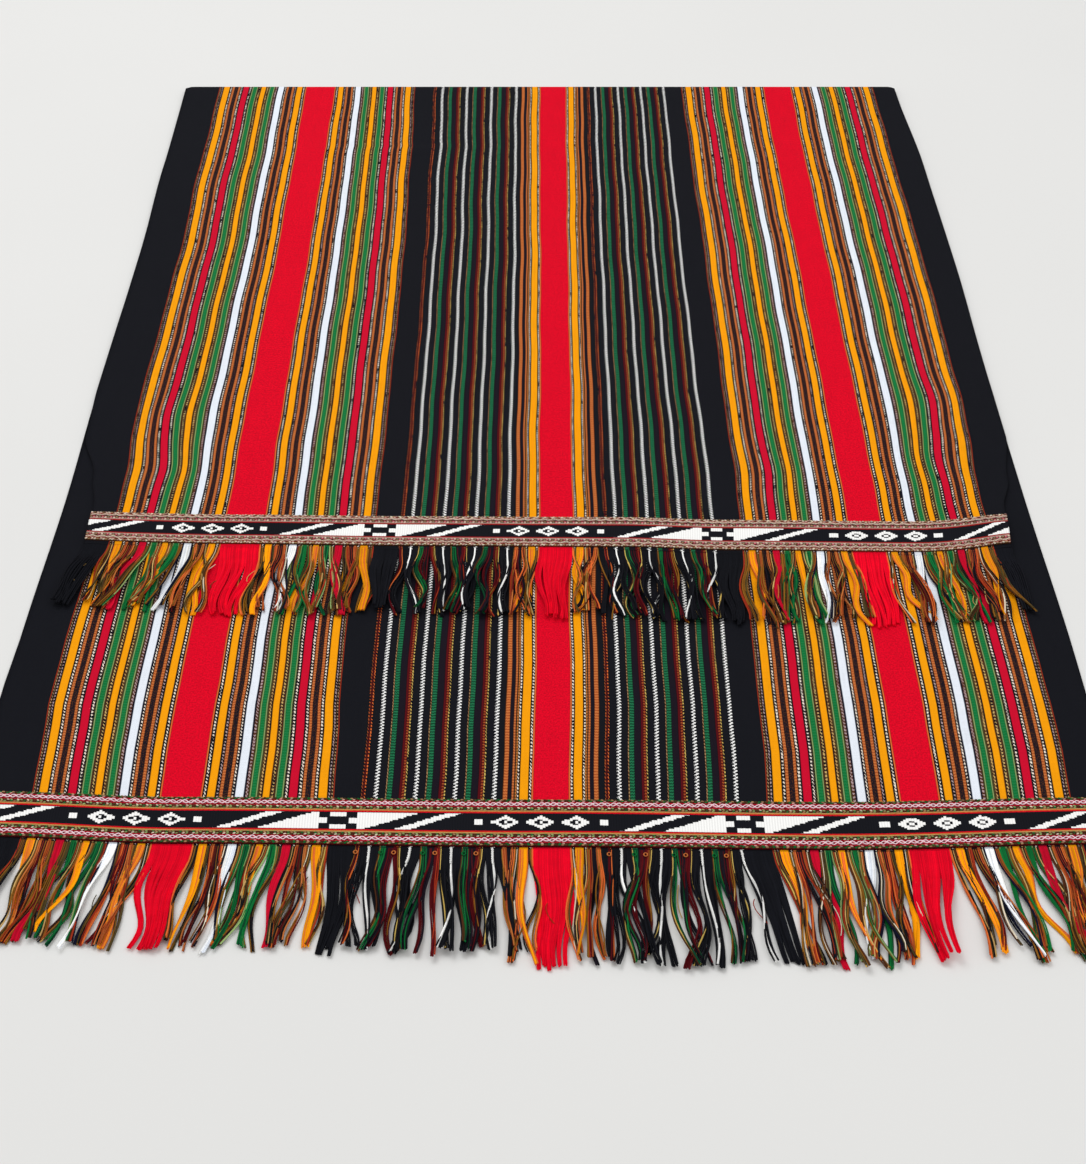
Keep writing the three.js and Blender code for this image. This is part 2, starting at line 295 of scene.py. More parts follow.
@dataclass
class Fold:
    """The folded shape of the cloth, in mm, as its solid in the frame has it."""

    thick: float = 1.2
    gap: float = 0.6
    loop: float = 1.5
    ease: float = 75.0
    fold_y: float = 692.5
    front_y: float = -579.0
    flap_y: float = -225.0
    end_ease: float = 190.0
    band_show: float = 4.5
    corner: float = 8.0
    corner_draw: float = 4.4

    @property
    def loop_y(self) -> float:
        """Returns where the cloth starts to turn."""
        return self.fold_y - self.loop - self.thick / 2

    @property
    def flap_mid(self) -> float:
        """Returns the height of the flap's middle."""
        return self.thick * 1.5 + self.gap

    def stations(self, lower: int, turn: int, ease: int, flap: int) -> dict[str, Array]:
        """Lists the cloth's lines from its front end, round the fold, to the flap's end.

        Args:
            lower: Steps along the lower layer.
            turn: Steps round the fold.
            ease: Steps where the flap comes down.
            flap: Steps along the flap.

        Returns:
            Arrays y, z, the outer face's direction (face_y, face_z) and the flap's share.
        """
        rows: list[tuple[float, float, float, float, float]] = []
        loop_z = self.thick / 2 + self.loop
        for share in np.arange(lower) / lower:
            rows.append((self.front_y + (self.loop_y - self.front_y) * share, self.thick / 2, 0, -1, 0))
        for angle in math.pi * np.arange(turn) / turn:
            y = self.loop_y + self.loop * math.sin(angle)
            z = loop_z - self.loop * math.cos(angle)
            rows.append((y, z, math.sin(angle), -math.cos(angle), 0))
        fall = loop_z + self.loop - self.flap_mid
        for share in np.arange(ease) / ease:
            down = share**3 * (share * (share * 6 - 15) + 10)
            rows.append((self.loop_y - self.ease * share, self.flap_mid + fall * (1 - down), 0, 1, down))
        for share in np.arange(flap + 1) / flap:
            start = self.loop_y - self.ease
            rows.append((start + (self.flap_y - start) * share, self.flap_mid, 0, 1, 1))
        table = np.array(rows)
        names = ("y", "z", "face_y", "face_z", "flap")
        return {name: table[:, n] for n, name in enumerate(names)}

    def across(self, design: Array, y: Array, flap: bool) -> Array:
        """Finds the x of places across the cloth at some lines.

        Args:
            design: Places across the unlaid cloth, in section numbers.
            y: Lines along, in mm.
            flap: True on the flap.

        Returns:
            The x of each line and place, in mm.
        """
        table = np.array(FLAP_PLACES if flap else LOWER_PLACES)
        spots, marks = table[:, 0], table[:, 1:]
        eased = np.array([follow(spots, column, y) for column in marks.T])
        number = np.clip(design.astype(int), 0, marks.shape[1] - 2)
        share = design - number
        return eased[number].T * (1 - share) + eased[number + 1].T * share

    def end_y(self, flap: bool) -> float:
        """Returns the line of the flap's end, or of the front end."""
        return self.flap_y if flap else self.front_y

    def bend(self, x: Array, y: Array, flap: bool) -> Array:
        """Bends straight lines near an end as the end itself bends.

        Args:
            x: Places across on each line, in mm.
            y: Lines along, in mm.
            flap: True on the flap.

        Returns:
            The y of each line and place, in mm.
        """
        slant = np.array(FLAP_SLANT if flap else FRONT_SLANT)
        end = self.end_y(flap)
        near = 1 - smooth(end, end + self.end_ease, y)[:, None]
        return y[:, None] + near * follow(slant[:, 0], slant[:, 1], x)

    def lay(self, design: Array, y: Array, flap: bool) -> tuple[Array, Array]:
        """Lays places of one layer on the table.

        Args:
            design: Places across the unlaid cloth, in section numbers.
            y: Lines along, in mm.
            flap: True on the flap.

        Returns:
            The x and y of each line and place, in mm.
        """
        x = self.across(design, y, flap)
        laid = self.bend(x, y, flap)
        inside = smooth(0, 1, np.minimum(design, len(SECTIONS) - design))
        # The stripes wander a little; the cloth's two edges keep to their lines
        slide = 0.34 * np.sin(laid / 33 + x / 41) + 0.2 * np.sin(laid / 15 - x / 29 + 1)
        if flap:
            slide = slide + ridge_sum(x, laid, "slide")
        return x + slide * inside, laid

    def rounded(self, x: Array, y: Array) -> Array:
        """Draws in the fold's two corners.

        Args:
            x: Places across of whole lines, in mm.
            y: Their places along, in mm.

        Returns:
            The new places along, in mm.
        """
        edge = np.minimum(x - x[:, :1], x[:, -1:] - x)
        inset = 1 - np.clip(edge / self.corner, 0, 1)
        near = smooth(self.fold_y - 3 * self.corner, self.fold_y, y)
        return y - near * self.corner_draw * inset**2.2

    def top(self, flap: bool) -> float:
        """Returns the height of the smooth flap's upper face, or of the lower layer's."""
        return self.flap_mid + self.thick / 2 if flap else self.thick

    def ripple(self, x: Array, y: Array) -> Array:
        """Returns the cloth's faint unevenness at some places, from 0 to about 0.5 mm."""
        waves = np.sin(x / 31 + y / 140) + np.sin(y / 47 - x / 90 + 1.3) + np.sin(x / 17 + y / 23)
        return 0.09 * (waves + 3)

    def flap_top(self, x: Array, y: Array) -> Array:
        """Returns the height of the flap's upper face at some places."""
        return self.top(True) + ridge_sum(x, y, "high")


@dataclass
class StripePlan:
    """The stripes' columns: where each column of the mesh lies and what it shows."""

    step: float = 5.5
    edges: list[float] = field(default_factory=list)
    widths: list[float] = field(default_factory=list)
    stripes: list[Stripe] = field(default_factory=list)
    local: list[tuple[float, float]] = field(default_factory=list)

    def __post_init__(self) -> None:
        """Fills the columns from the sections."""
        self.edges.append(0.0)
        for number, section in enumerate(SECTIONS):
            total = sum(stripe.wide for stripe in section)
            done = 0.0
            for stripe in section:
                cuts = max(1, round(stripe.wide / self.step))
                for cut in range(cuts):
                    done += stripe.wide / cuts
                    self.edges.append(number + min(done / total, 1.0))
                    self.widths.append(stripe.wide / cuts)
                    self.stripes.append(stripe)
                    self.local.append((2 * cut / cuts - 1, 2 * (cut + 1) / cuts - 1))

    @property
    def design(self) -> Array:
        """Returns the columns' edges in section numbers."""
        return np.array(self.edges)

    @property
    def places(self) -> Array:
        """Returns the columns' edges in mm of flat cloth, from the left edge."""
        return np.concatenate([[0.0], np.cumsum(self.widths)])


def operator(operation: str, swapped: bool = False) -> Callable[..., "Signal"]:
    """Makes a method that turns a sum in Python into a Math node.

    Args:
        operation: The node's operation.
        swapped: True for a reflected method, whose own value comes last.

    Returns:
        The method; its arguments are the node's other inputs.
    """
    def method(self: "Signal", *others: "Signal | float") -> "Signal":
        """Adds the Math node and returns its result."""
        parts = (*others, self) if swapped else (self, *others)
        return self.net.node("ShaderNodeMath", {"operation": operation}, dict(enumerate(parts)))

    return method


@dataclass(eq=False)
class Signal:
    """A value in a shader, with Python's operators and a few named ones."""

    net: "Net"
    socket: bpy.types.NodeSocket

    __add__, __radd__ = operator("ADD"), operator("ADD", True)
    __sub__, __rsub__ = operator("SUBTRACT"), operator("SUBTRACT", True)
    __mul__, __truediv__ = operator("MULTIPLY"), operator("DIVIDE")
    __gt__, __lt__ = operator("GREATER_THAN"), operator("LESS_THAN")
    __abs__ = operator("ABSOLUTE")
    floor, sine = operator("FLOOR"), operator("SINE")
    least, most = operator("MINIMUM"), operator("MAXIMUM")
    # wrap takes the high and the low end, near takes the other value and the reach
    wrap, near = operator("WRAP"), operator("COMPARE")


Input = Signal | float | Sequence[float]


def add_node(
    tree: bpy.types.NodeTree, kind: str, settings: dict | None, inputs: dict | None
) -> bpy.types.Node:
    """Adds a node to a tree.

    Args:
        tree: The tree.
        kind: The node's type.
        settings: Its properties, set first.
        inputs: Values or output sockets by the input's name or number.

    Returns:
        The node.
    """
    made = tree.nodes.new(kind)
    for name, value in (settings or {}).items():
        setattr(made, name, value)
    for name, value in (inputs or {}).items():
        socket = made.inputs[name]
        if isinstance(value, bpy.types.NodeSocket):
            tree.links.new(value, socket)
        else:
            socket.default_value = value
    return made


class Net:
    """One material and its nodes."""

    def __init__(self, name: str, roughness: float) -> None:
        """Makes the material with its main shader.

        Args:
            name: The material's name.
            roughness: The shader's roughness.
        """
        self.material = bpy.data.materials.new(name)
        self.material.use_nodes = True
        self.links = self.material.node_tree.links
        self.shader = self.material.node_tree.nodes["Principled BSDF"]
        self.shader.inputs["Roughness"].default_value = roughness
        self.shader.inputs["Specular IOR Level"].default_value = SHINE

    def node(self, kind: str, settings: dict | None = None, inputs: dict[str | int, Input] | None = None,
             result: str | int = 0) -> Signal:
        """Adds one node.

        Args:
            kind: The node's type.
            settings: Its properties, set first.
            inputs: Its inputs by name or number.
            result: The output that is wanted.

        Returns:
            That output.
        """
        given = (inputs or {}).items()
        plain = {name: value.socket if isinstance(value, Signal) else value for name, value in given}
        return Signal(self, add_node(self.material.node_tree, kind, settings, plain).outputs[result])

    def mix(self, share: Signal | float, first: Input, second: Input) -> Signal:
        """Mixes two colours.

        Args:
            share: The share of the second colour.
            first: A colour or its signal.
            second: A colour or its signal.

        Returns:
            The mixed colour.
        """
        colours = [c if isinstance(c, Signal) else (*c, 1.0) for c in (first, second)]
        inputs = {0: share, 6: colours[0], 7: colours[1]}
        return self.node("ShaderNodeMix", {"data_type": "RGBA"}, inputs, 2)

    def shade(self, colour: Input, level: Signal) -> Signal:
        """Multiplies a colour by a level."""
        return self.node("ShaderNodeVectorMath", {"operation": "SCALE"}, {0: colour, "Scale": level})

    def noise(self, place: Signal, scale: float = 1.0, detail: float = 2.0) -> Signal:
        """Returns a noise from 0 to 1 at a place."""
        return self.node("ShaderNodeTexNoise", None, {"Vector": place, "Scale": scale, "Detail": detail})

    def attribute(self, name: str, result: str) -> Signal:
        """Returns one output of a mesh attribute."""
        return self.node("ShaderNodeAttribute", {"attribute_name": name}, None, result)

    def split(self, vector: Signal) -> tuple[Signal, Signal, Signal]:
        """Returns the three parts of a vector."""
        made = self.node("ShaderNodeSeparateXYZ", None, {0: vector}).socket.node
        return tuple(Signal(self, output) for output in made.outputs)

    def weave_place(self) -> tuple[Signal, Signal]:
        """Returns the two parts of the Weave map, in mm."""
        across, along, _ = self.split(self.node("ShaderNodeUVMap", {"uv_map": "Weave"}))
        return across / MM, along / MM

    def join(self, x: Input, y: Input, z: Input) -> Signal:
        """Returns a vector of three parts."""
        return self.node("ShaderNodeCombineXYZ", None, {0: x, 1: y, 2: z})

    def finish(self, colour: Signal, height: Signal | None = None,
               depth: float = 0.0) -> bpy.types.Material:
        """Links the results to the shader.

        Args:
            colour: The base colour.
            height: The height of the surface, or None.
            depth: What a height of 1 stands for, in metres.

        Returns:
            The material.
        """
        self.links.new(colour.socket, self.shader.inputs["Base Color"])
        if height is not None:
            bump = self.node("ShaderNodeBump", None, {"Strength": 0.6, "Distance": depth, "Height": height})
            self.links.new(bump.socket, self.shader.inputs["Normal"])
        return self.material


# The noises of the striped weave: how fine across and along, per mm, and where they start
WEAVE_NOISES = {
    "streaks": (1.3, 0.03, 0.0),
    "grain": (0.9, 0.9, 3.0),
    "patches": (0.35, 0.09, 7.0),
    "blotch": (0.12, 0.03, 11.0),
    "mottle": (0.75, 0.55, 17.0),
    "wefts": (0.03, 0.8, 23.0),
}


@dataclass(frozen=True)
class StripedWeave:
    """Finish of the striped cloth: warp-faced cotton whose stripes come from the mesh; sizes in mm."""

    warp: float = 0.85
    pick: float = 1.5
    dash: float = 3.8
    dash_half: float = 0.72
    dash_gap: float = 2.05
    flap_gap: float = 0.3
    patchy: float = 3.9
    braid: float = 3.5
    tooth: float = 0.62
    bead: float = 3.1
    outline: float = 0.45
    turn_back: float = 1272.0

    def material(self) -> bpy.types.Material:
        """Builds the material.

        Returns:
            The material, which reads the Weave map and the stripe attributes.
        """
        net = Net("striped_weave", 0.9)
        across, along = net.weave_place()
        local, kind, wide = net.split(net.attribute("lay", "Vector"))
        streaks, grain, patches, blotch, mottle, wefts = (
            net.noise(net.join(across * fine, along * long, start))
            for fine, long, start in WEAVE_NOISES.values()
        )
        yarn_turn = (across / self.warp).floor() * math.pi
        rib = (along * (TURN / self.pick) + yarn_turn).sine() * 0.5 + 0.5
        warp_round = abs((across * (math.pi / self.warp)).sine())
        dash_wave = (along * (TURN / self.dash) + local * 1.6 + streaks * 9.0 + grain * 4.0).sine()
        on_flap = along > self.turn_back
        gaps = self.dash_gap - patches * self.patchy + on_flap * self.flap_gap
        dashes = (dash_wave > gaps) * (abs(local) < self.dash_half)
        side = (local > 0.0) * math.pi
        teeth = (along * (TURN / self.braid) + side + streaks * 4.0).sine() * self.tooth
        nicks = (along * (TURN / self.braid) - abs(local) * 2.4 + streaks * 6.0 + grain * 2.0).sine()
        braid = (abs(local) < (teeth + grain * 1.15)) * (nicks < 0.82)
        beads = (along * (TURN / self.bead) + streaks * 7.0 + grain * 3.0).sine() * 1.1 + 0.45
        flecks = grain > 0.56
        dotted, braided, speckled, twilled, ribbed = (
            kind.near(weave.value, 0.3) for weave in Weave if weave is not Weave.PLAIN
        )
        floats = dotted * dashes + braided * braid
        pattern = (
            floats
            + speckled * flecks
            + twilled * (mottle * 2.6 - 1.0).least(0.7).most(0.0)
            + ribbed * beads.least(1.0).most(0.0)
        )
        colour = net.mix(pattern, net.attribute("yarn", "Color"), net.attribute("fleck", "Color"))
        from_edge = (1.0 - abs(local)) * wide * (0.5 / self.outline)
        level = 0.6 + rib * 0.12 + warp_round * 0.12 + streaks * 0.16 + grain * 0.14
        level = level + wefts * 0.16 + blotch * 0.12
        level = level * (from_edge.least(1.0) * 0.6 + 0.4).most(floats)
        height = rib * 0.55 + warp_round * 0.45 + pattern * 0.35
        return net.finish(net.shade(colour, level), height, 0.25 * MM)


@dataclass(frozen=True)
class BandMotif:
    """Sizes of the band's black and white pattern, in mm."""

    repeat: float = 275.0
    step: float = 1.85
    row: float = 1.4
    bar: float = 60.6
    bar_half: float = 5.2
    bar_run: float = 35.0
    wedge: float = 36.2
    wedge_run: float = 38.0
    block: float = 13.0
    corner: float = 5.0
    cross: float = 2.9
    heart: tuple[float, float] = (7.3, 4.3)
    field_edge: float = 54.0
    lozenge_pitch: float = 24.0
    lozenge: tuple[float, float] = (10.2, 6.9)
    dot: float = 42.5
    dot_half: tuple[float, float] = (3.2, 2.4)
    ragged: float = 0.9


@dataclass(frozen=True)
class BandWeave:
    """Finish of a band's middle strip: ribbed weave with diagonals, checks and lozenges."""

    motif: BandMotif = BandMotif()
    strip: float = 17.0
    weft: float = 0.9

    def material(self) -> bpy.types.Material:
        """Builds the material.

        Returns:
            The material, which reads the Weave map: along the band and up from its middle.
        """
        net = Net("band_weave", 0.85)
        x, y = net.weave_place()
        size = self.motif
        column = (x / size.step).floor() * size.step + size.step / 2
        ragged = net.noise(net.join(column * 0.7, 0.0, 0.0)) * (2 * size.ragged) - size.ragged
        line = ((y + ragged) / size.row).floor() * size.row + size.row / 2
        spot = column.wrap(size.repeat / 2, -size.repeat / 2)
        bar_lean = spot - line * (size.bar_run / self.strip)
        bars = abs(abs(bar_lean) - size.bar) < size.bar_half
        wedge_lean = spot - line * (size.wedge_run / self.strip)
        wedge = (abs(wedge_lean) < size.wedge) * (abs(spot) < size.field_edge)
        corners = (abs(spot) > size.corner) * (abs(line) > size.cross)
        heart = (abs(spot) < size.heart[0]) * (abs(line) < size.heart[1])
        block = abs(spot) < size.block
        dark = block * corners.most(heart)
        field_spot = (column + size.repeat / 2).wrap(size.repeat / 2, -size.repeat / 2)
        white = bars.most(wedge) * (1.0 - dark)
        white = white.most(self._lozenges(field_spot, line)) * (abs(y) < self.strip / 2)
        rib = abs((x * (math.pi / size.step)).sine())
        grain = net.noise(net.join(x * 1.1, y * 1.1, 0.0))
        weft = (y * (TURN / self.weft)).sine() * 0.5 + 0.5
        colour = net.mix(white, net.attribute("yarn", "Color"), Yarn.BLEACHED.value)
        level = 0.74 + rib * 0.18 + grain * 0.2 + weft * 0.06
        height = rib * 0.7 + grain * 0.15 + white * 0.4
        return net.finish(net.shade(colour, level), height, 0.3 * MM)

    def _lozenges(self, spot: Signal, line: Signal) -> Signal:
        """Draws the generic motif of the dark fields: three lozenges between two dots.

        Args:
            spot: Place along from the field's middle, in mm.
            line: Place up from the strip's middle, in mm.

        Returns:
            1 where the motif is white.
        """
        size = self.motif
        pitch = size.lozenge_pitch
        folded = abs(spot.wrap(pitch / 2, -pitch / 2))
        shape = folded / size.lozenge[0] + abs(line) / size.lozenge[1]
        ring = (shape < 1.0) * (shape > 0.5)
        heart = shape < 0.22
        inside = abs(spot) < 1.5 * pitch
        square = (abs(abs(spot) - size.dot) < size.dot_half[0]) * (abs(line) < size.dot_half[1])
        return (ring.most(heart) * inside).most(square)


@dataclass(frozen=True)
class YarnFinish:
    """Finish of loose yarns and stitches, whose colour comes from the mesh."""

    name: str = "loose_yarn"

    def material(self) -> bpy.types.Material:
        """Builds the material.

        Returns:
            The material, which reads the tint attribute and Object coordinates.
        """
        net = Net(self.name, 0.85)
        place = net.node("ShaderNodeTexCoord", None, None, "Object")
        fibre = net.noise(place, 1600.0, 3.0)
        tone = net.noise(place, 90.0, 2.0)
        level = 0.62 + fibre * 0.42 + tone * 0.3
        colour = net.shade(net.attribute("tint", "Color"), level)
        return net.finish(colour, fibre, 0.15 * MM)


def put(name: str, mesh: bpy.types.Mesh) -> bpy.types.Object:
    """Makes an object of a mesh.

    Args:
        name: The object's name.
        mesh: Its mesh, whose faces become smooth.

    Returns:
        The object, linked to the scene.
    """
    mesh.polygons.foreach_set("use_smooth", np.ones(len(mesh.polygons), bool))
    made = bpy.data.objects.new(name, mesh)
    bpy.context.scene.collection.objects.link(made)
    return made


def mesh_object(name: str, points: Array, faces: Array, material: bpy.types.Material) -> bpy.types.Object:
    """Makes a mesh object from arrays.

    Args:
        name: The piece's name.
        points: Its points in metres.
        faces: Its faces as rows of four point numbers.
        material: Its finish.

    Returns:
        The object.
    """
    mesh = bpy.data.meshes.new(name)
    mesh.from_pydata(points.tolist(), [], faces.tolist())
    mesh.materials.append(material)
    return put(name, mesh)


def set_values(mesh: bpy.types.Mesh, name: str, kind: str, domain: str, values: Array) -> None:
    """Writes an attribute.

    Args:
        mesh: The mesh.
        name: The attribute's name.
        kind: FLOAT, FLOAT_COLOR or FLOAT_VECTOR.
        domain: POINT or CORNER.
        values: A row for each point or face corner.
    """
    key = {"FLOAT": "value", "FLOAT_COLOR": "color", "FLOAT_VECTOR": "vector"}[kind]
    made = mesh.attributes.new(name, kind, domain)
    made.data.foreach_set(key, np.asarray(values, np.float32).ravel())


def set_map(mesh: bpy.types.Mesh, name: str, values: Array) -> None:
    """Writes a UV map with one row for each face corner."""
    mesh.uv_layers.new(name=name).data.foreach_set("uv", values.astype(np.float32).ravel())


def opaque(colours: Array) -> Array:
    """Returns rows of colours with a full alpha."""
    return np.concatenate([colours, np.ones((len(colours), 1))], 1)


def shell_faces(rows: int, columns: int) -> tuple[Array, dict[str, Array]]:
    """Lists the faces of a thin closed sheet made of two grids and the walls between them.

    Args:
        rows: Points along.
        columns: Points across.

    Returns:
        The faces, and for each its part (0 outer, 1 inner, 2 wall), cell row and cell column,
        with the corner's row and column for each face corner.
    """
    other = rows * columns
    row, column = np.meshgrid(np.arange(rows - 1), np.arange(columns - 1), indexing="ij")
    row, column = row.ravel(), column.ravel()
    ring_r = np.stack([row, row, row + 1, row + 1], 1)
    ring_c = np.stack([column, column + 1, column + 1, column], 1)
    grid = ring_r * columns + ring_c
    outer, inner = grid[:, ::-1], grid + other
    walls, wall_r, wall_c = [], [], []
    loop = [(r, 0) for r in range(rows - 1)] + [(rows - 1, c) for c in range(columns - 1)]
    loop += [(r, columns - 1) for r in range(rows - 1, 0, -1)] + [(0, c) for c in range(columns - 1, 0, -1)]
    for n, (r, c) in enumerate(loop):
        r2, c2 = loop[(n + 1) % len(loop)]
        a, b = r * columns + c, r2 * columns + c2
        walls.append([a, b, b + other, a + other])
        wall_r.append([r, r2, r2, r])
        wall_c.append([c, c2, c2, c])
    faces = np.concatenate([outer, inner, np.array(walls)])
    count = len(grid)
    facts = {
        "part": np.concatenate([np.zeros(count, int), np.ones(count, int), np.full(len(walls), 2)]),
        "row": np.concatenate([ring_r[:, ::-1], ring_r, np.array(wall_r)]),
        "column": np.concatenate([ring_c[:, ::-1], ring_c, np.array(wall_c)]),
        "cell": np.concatenate([column, column, np.minimum(np.array(wall_c).min(1), columns - 2)]),
    }
    return faces, facts


@dataclass
class StripedCloth:
    """The cloth itself: one sheet, folded once."""

    fold: Fold
    plan: StripePlan
    lower_steps: int = 48
    turn_steps: int = 10
    ease_steps: int = 9
    flap_steps: int = 74
    flat: tuple[float, float] = (0.80, 2.18)

    def points(self) -> tuple[Array, Array, Array]:
        """Works out the outer and inner faces.

        Returns:
            The outer points, the inner points and the length along the cloth, in mm.
        """
        rows = self.fold.stations(self.lower_steps, self.turn_steps, self.ease_steps, self.flap_steps)
        design = self.plan.design
        y, z = rows["y"], rows["z"]
        lower = self.fold.lay(design, y, False)
        upper = self.fold.lay(design, y, True)
        on_flap = (np.arange(len(y)) >= self.lower_steps)[:, None]
        x = np.where(on_flap, upper[0], lower[0])
        laid = self.fold.rounded(x, np.where(on_flap, upper[1], lower[1]))
        high = z[:, None] + rows["flap"][:, None] * ridge_sum(x, laid, "high")
        high = high + self.fold.ripple(x, laid) * rows["flap"][:, None]
        half = self.fold.thick / 2
        step_y, step_z = rows["face_y"][:, None] * half, rows["face_z"][:, None] * half
        outer = np.stack([x, laid + step_y, high + step_z], -1)
        inner = np.stack([x, laid - step_y, high - step_z], -1)
        along = np.concatenate([[0.0], np.cumsum(np.hypot(np.diff(y), np.diff(z)))])
        return outer, inner, along

    def build(self, material: bpy.types.Material) -> bpy.types.Object:
        """Builds the cloth.

        Args:
            material: Its finish.

        Returns:
            The cloth's object.
        """
        outer, inner, along = self.points()
        rows, columns = outer.shape[:2]
        faces, facts = shell_faces(rows, columns)
        points = np.concatenate([outer.reshape(-1, 3), inner.reshape(-1, 3)]) * MM
        piece = mesh_object("striped_cloth_look", points, faces, material)
        self._dress(piece.data, facts, along)
        return piece

    def _dress(self, mesh: bpy.types.Mesh, facts: dict[str, Array], along: Array) -> None:
        """Writes the stripes and maps on the mesh.

        Args:
            mesh: The cloth's mesh.
            facts: What shell_faces says of each face.
            along: Length along the cloth at each row, in mm.
        """
        places, stripes = self.plan.places, self.plan.stripes
        row, column, cell, part = facts["row"], facts["column"], facts["cell"], facts["part"]
        side = (column > cell[:, None]).astype(int)
        local = np.array(self.plan.local)[cell[:, None], side]
        woven = np.array([(stripe.weave.value, stripe.wide) for stripe in stripes])[cell]
        lay = np.concatenate([local[..., None], np.repeat(woven[:, None], 4, 1)], -1)
        set_values(mesh, "lay", "FLOAT_VECTOR", "CORNER", lay)
        for name in ("yarn", "fleck"):
            tints = opaque(np.array([getattr(stripe, name).value for stripe in stripes]))
            set_values(mesh, name, "FLOAT_COLOR", "CORNER", np.repeat(tints[cell], 4, 0))
        set_map(mesh, "Weave", np.stack([places[column], along[row]], -1) * MM)
        # The bake map has the outer face in its lower half, the inner face above and the walls between
        u = places[column] / places[-1]
        v = along[row] / along[-1]
        half = np.where(part == 1, 0.515, 0.005)[:, None] + v * 0.48
        wall = 0.49 + 0.02 * (np.arange(4) >= 2) * np.ones_like(v)
        baked = np.stack([0.004 + u * 0.992, np.where((part == 2)[:, None], wall, half)], -1)
        set_map(mesh, "OFBake", baked)
        mesh.uv_layers.active = mesh.uv_layers["OFBake"]


@dataclass(frozen=True)
class StitchRow:
    """One row of short stitches: its place from the band's outer edge, pitch, turn and yarns."""

    at: float
    pitch: float
    turn: float
    yarns: tuple[Yarn, ...]


@dataclass(frozen=True)
class Cord:
    """One long cord of an edging: its place from the outer edge, its waves and its yarn."""

    at: float
    yarn: Yarn
    swing: float = 0.0
    phase: float = 0.0
    radius: float = 0.5
    high: float = 1.5


@dataclass(frozen=True)
class Edging:
    """The yarns of a band's two edgings, from the outer edge inwards."""

    ground: Yarn
    rows: tuple[StitchRow, ...]
    cords: tuple[Cord, ...]
    wide: float = 15.2
    wave: float = 8.3


def edging(ground: Yarn, stitches: tuple[str, ...], chain: tuple[tuple[str, float, float], ...],
           inner: tuple[tuple[float, str, float, float], ...]) -> Edging:
    """Lays out an edging: two rows of stitches, a chain between cords, two more rows, then cords.

    Args:
        ground: The yarn under it.
        stitches: The yarns of each row of stitches.
        chain: The yarn, swing and phase of the chain's two upper and two lower cords.
        inner: The place, yarn, radius and height of each straight cord.

    Returns:
        The edging.
    """
    spots = ((0.9, 2.3, 14), (2.2, 2.4, -20), (9.3, 2.3, 26), (10.9, 2.3, -22))
    rows = [
        StitchRow(*spot, tuple(Yarn[word] for word in words.split())) for spot, words in zip(spots, stitches)
    ]
    sizes = ((0.46, 1.8), (0.46, 1.8), (0.5, 1.35), (0.5, 1.35))
    cords = [
        Cord(5.5, Yarn[yarn], swing, phase, *size) for (yarn, swing, phase), size in zip(chain, sizes)
    ]
    cords += [Cord(at, Yarn[yarn], 0.0, 0.0, radius, high) for at, yarn, radius, high in inner]
    return Edging(ground, tuple(rows), tuple(cords))


BRIGHT_EDGING = edging(
    Yarn.MAROON,
    ("OLIVE GREEN TAN", "GREEN DUSTY BROWN", "OLIVE CREAM LEAF", "GREEN TAN LEAF BROWN"),
    (("PINK", 1.5, 0.0), ("PINK", 1.5, math.pi), ("ROSE", 1.4, 0.7), ("ROSE", 1.4, math.pi + 0.7)),
    (
        (3.3, "CRIMSON", 0.55, 1.3), (7.8, "CRIMSON", 0.55, 1.3), (12.4, "SAND", 0.55, 1.5),
        (13.3, "ORANGE", 0.45, 1.45), (14.3, "RED", 0.6, 1.4),
    ),
)

DULL_EDGING = edging(
    Yarn.BROWN,
    ("CREAM TAN DUSTY", "DUSTY BROWN CREAM", "TAN ROSE DUSTY", "GREY DUSTY CREAM"),
    (("CREAM", 1.2, 0.0), ("DUSTY", 1.2, math.pi), ("GREY", 1.2, 0.8), ("DUSTY", 1.2, math.pi + 0.8)),
    (
        (3.3, "BRICK", 0.55, 1.3), (7.8, "MAROON", 0.55, 1.3), (12.4, "DUSTY", 0.6, 1.4),
        (13.6, "BRICK", 0.5, 1.4), (14.5, "SCARLET", 0.5, 1.3),
    ),
)


# The inputs that size a stitch
STITCH_SIZES = ("Stitch Length", "Stitch Width", "Stitch Height")


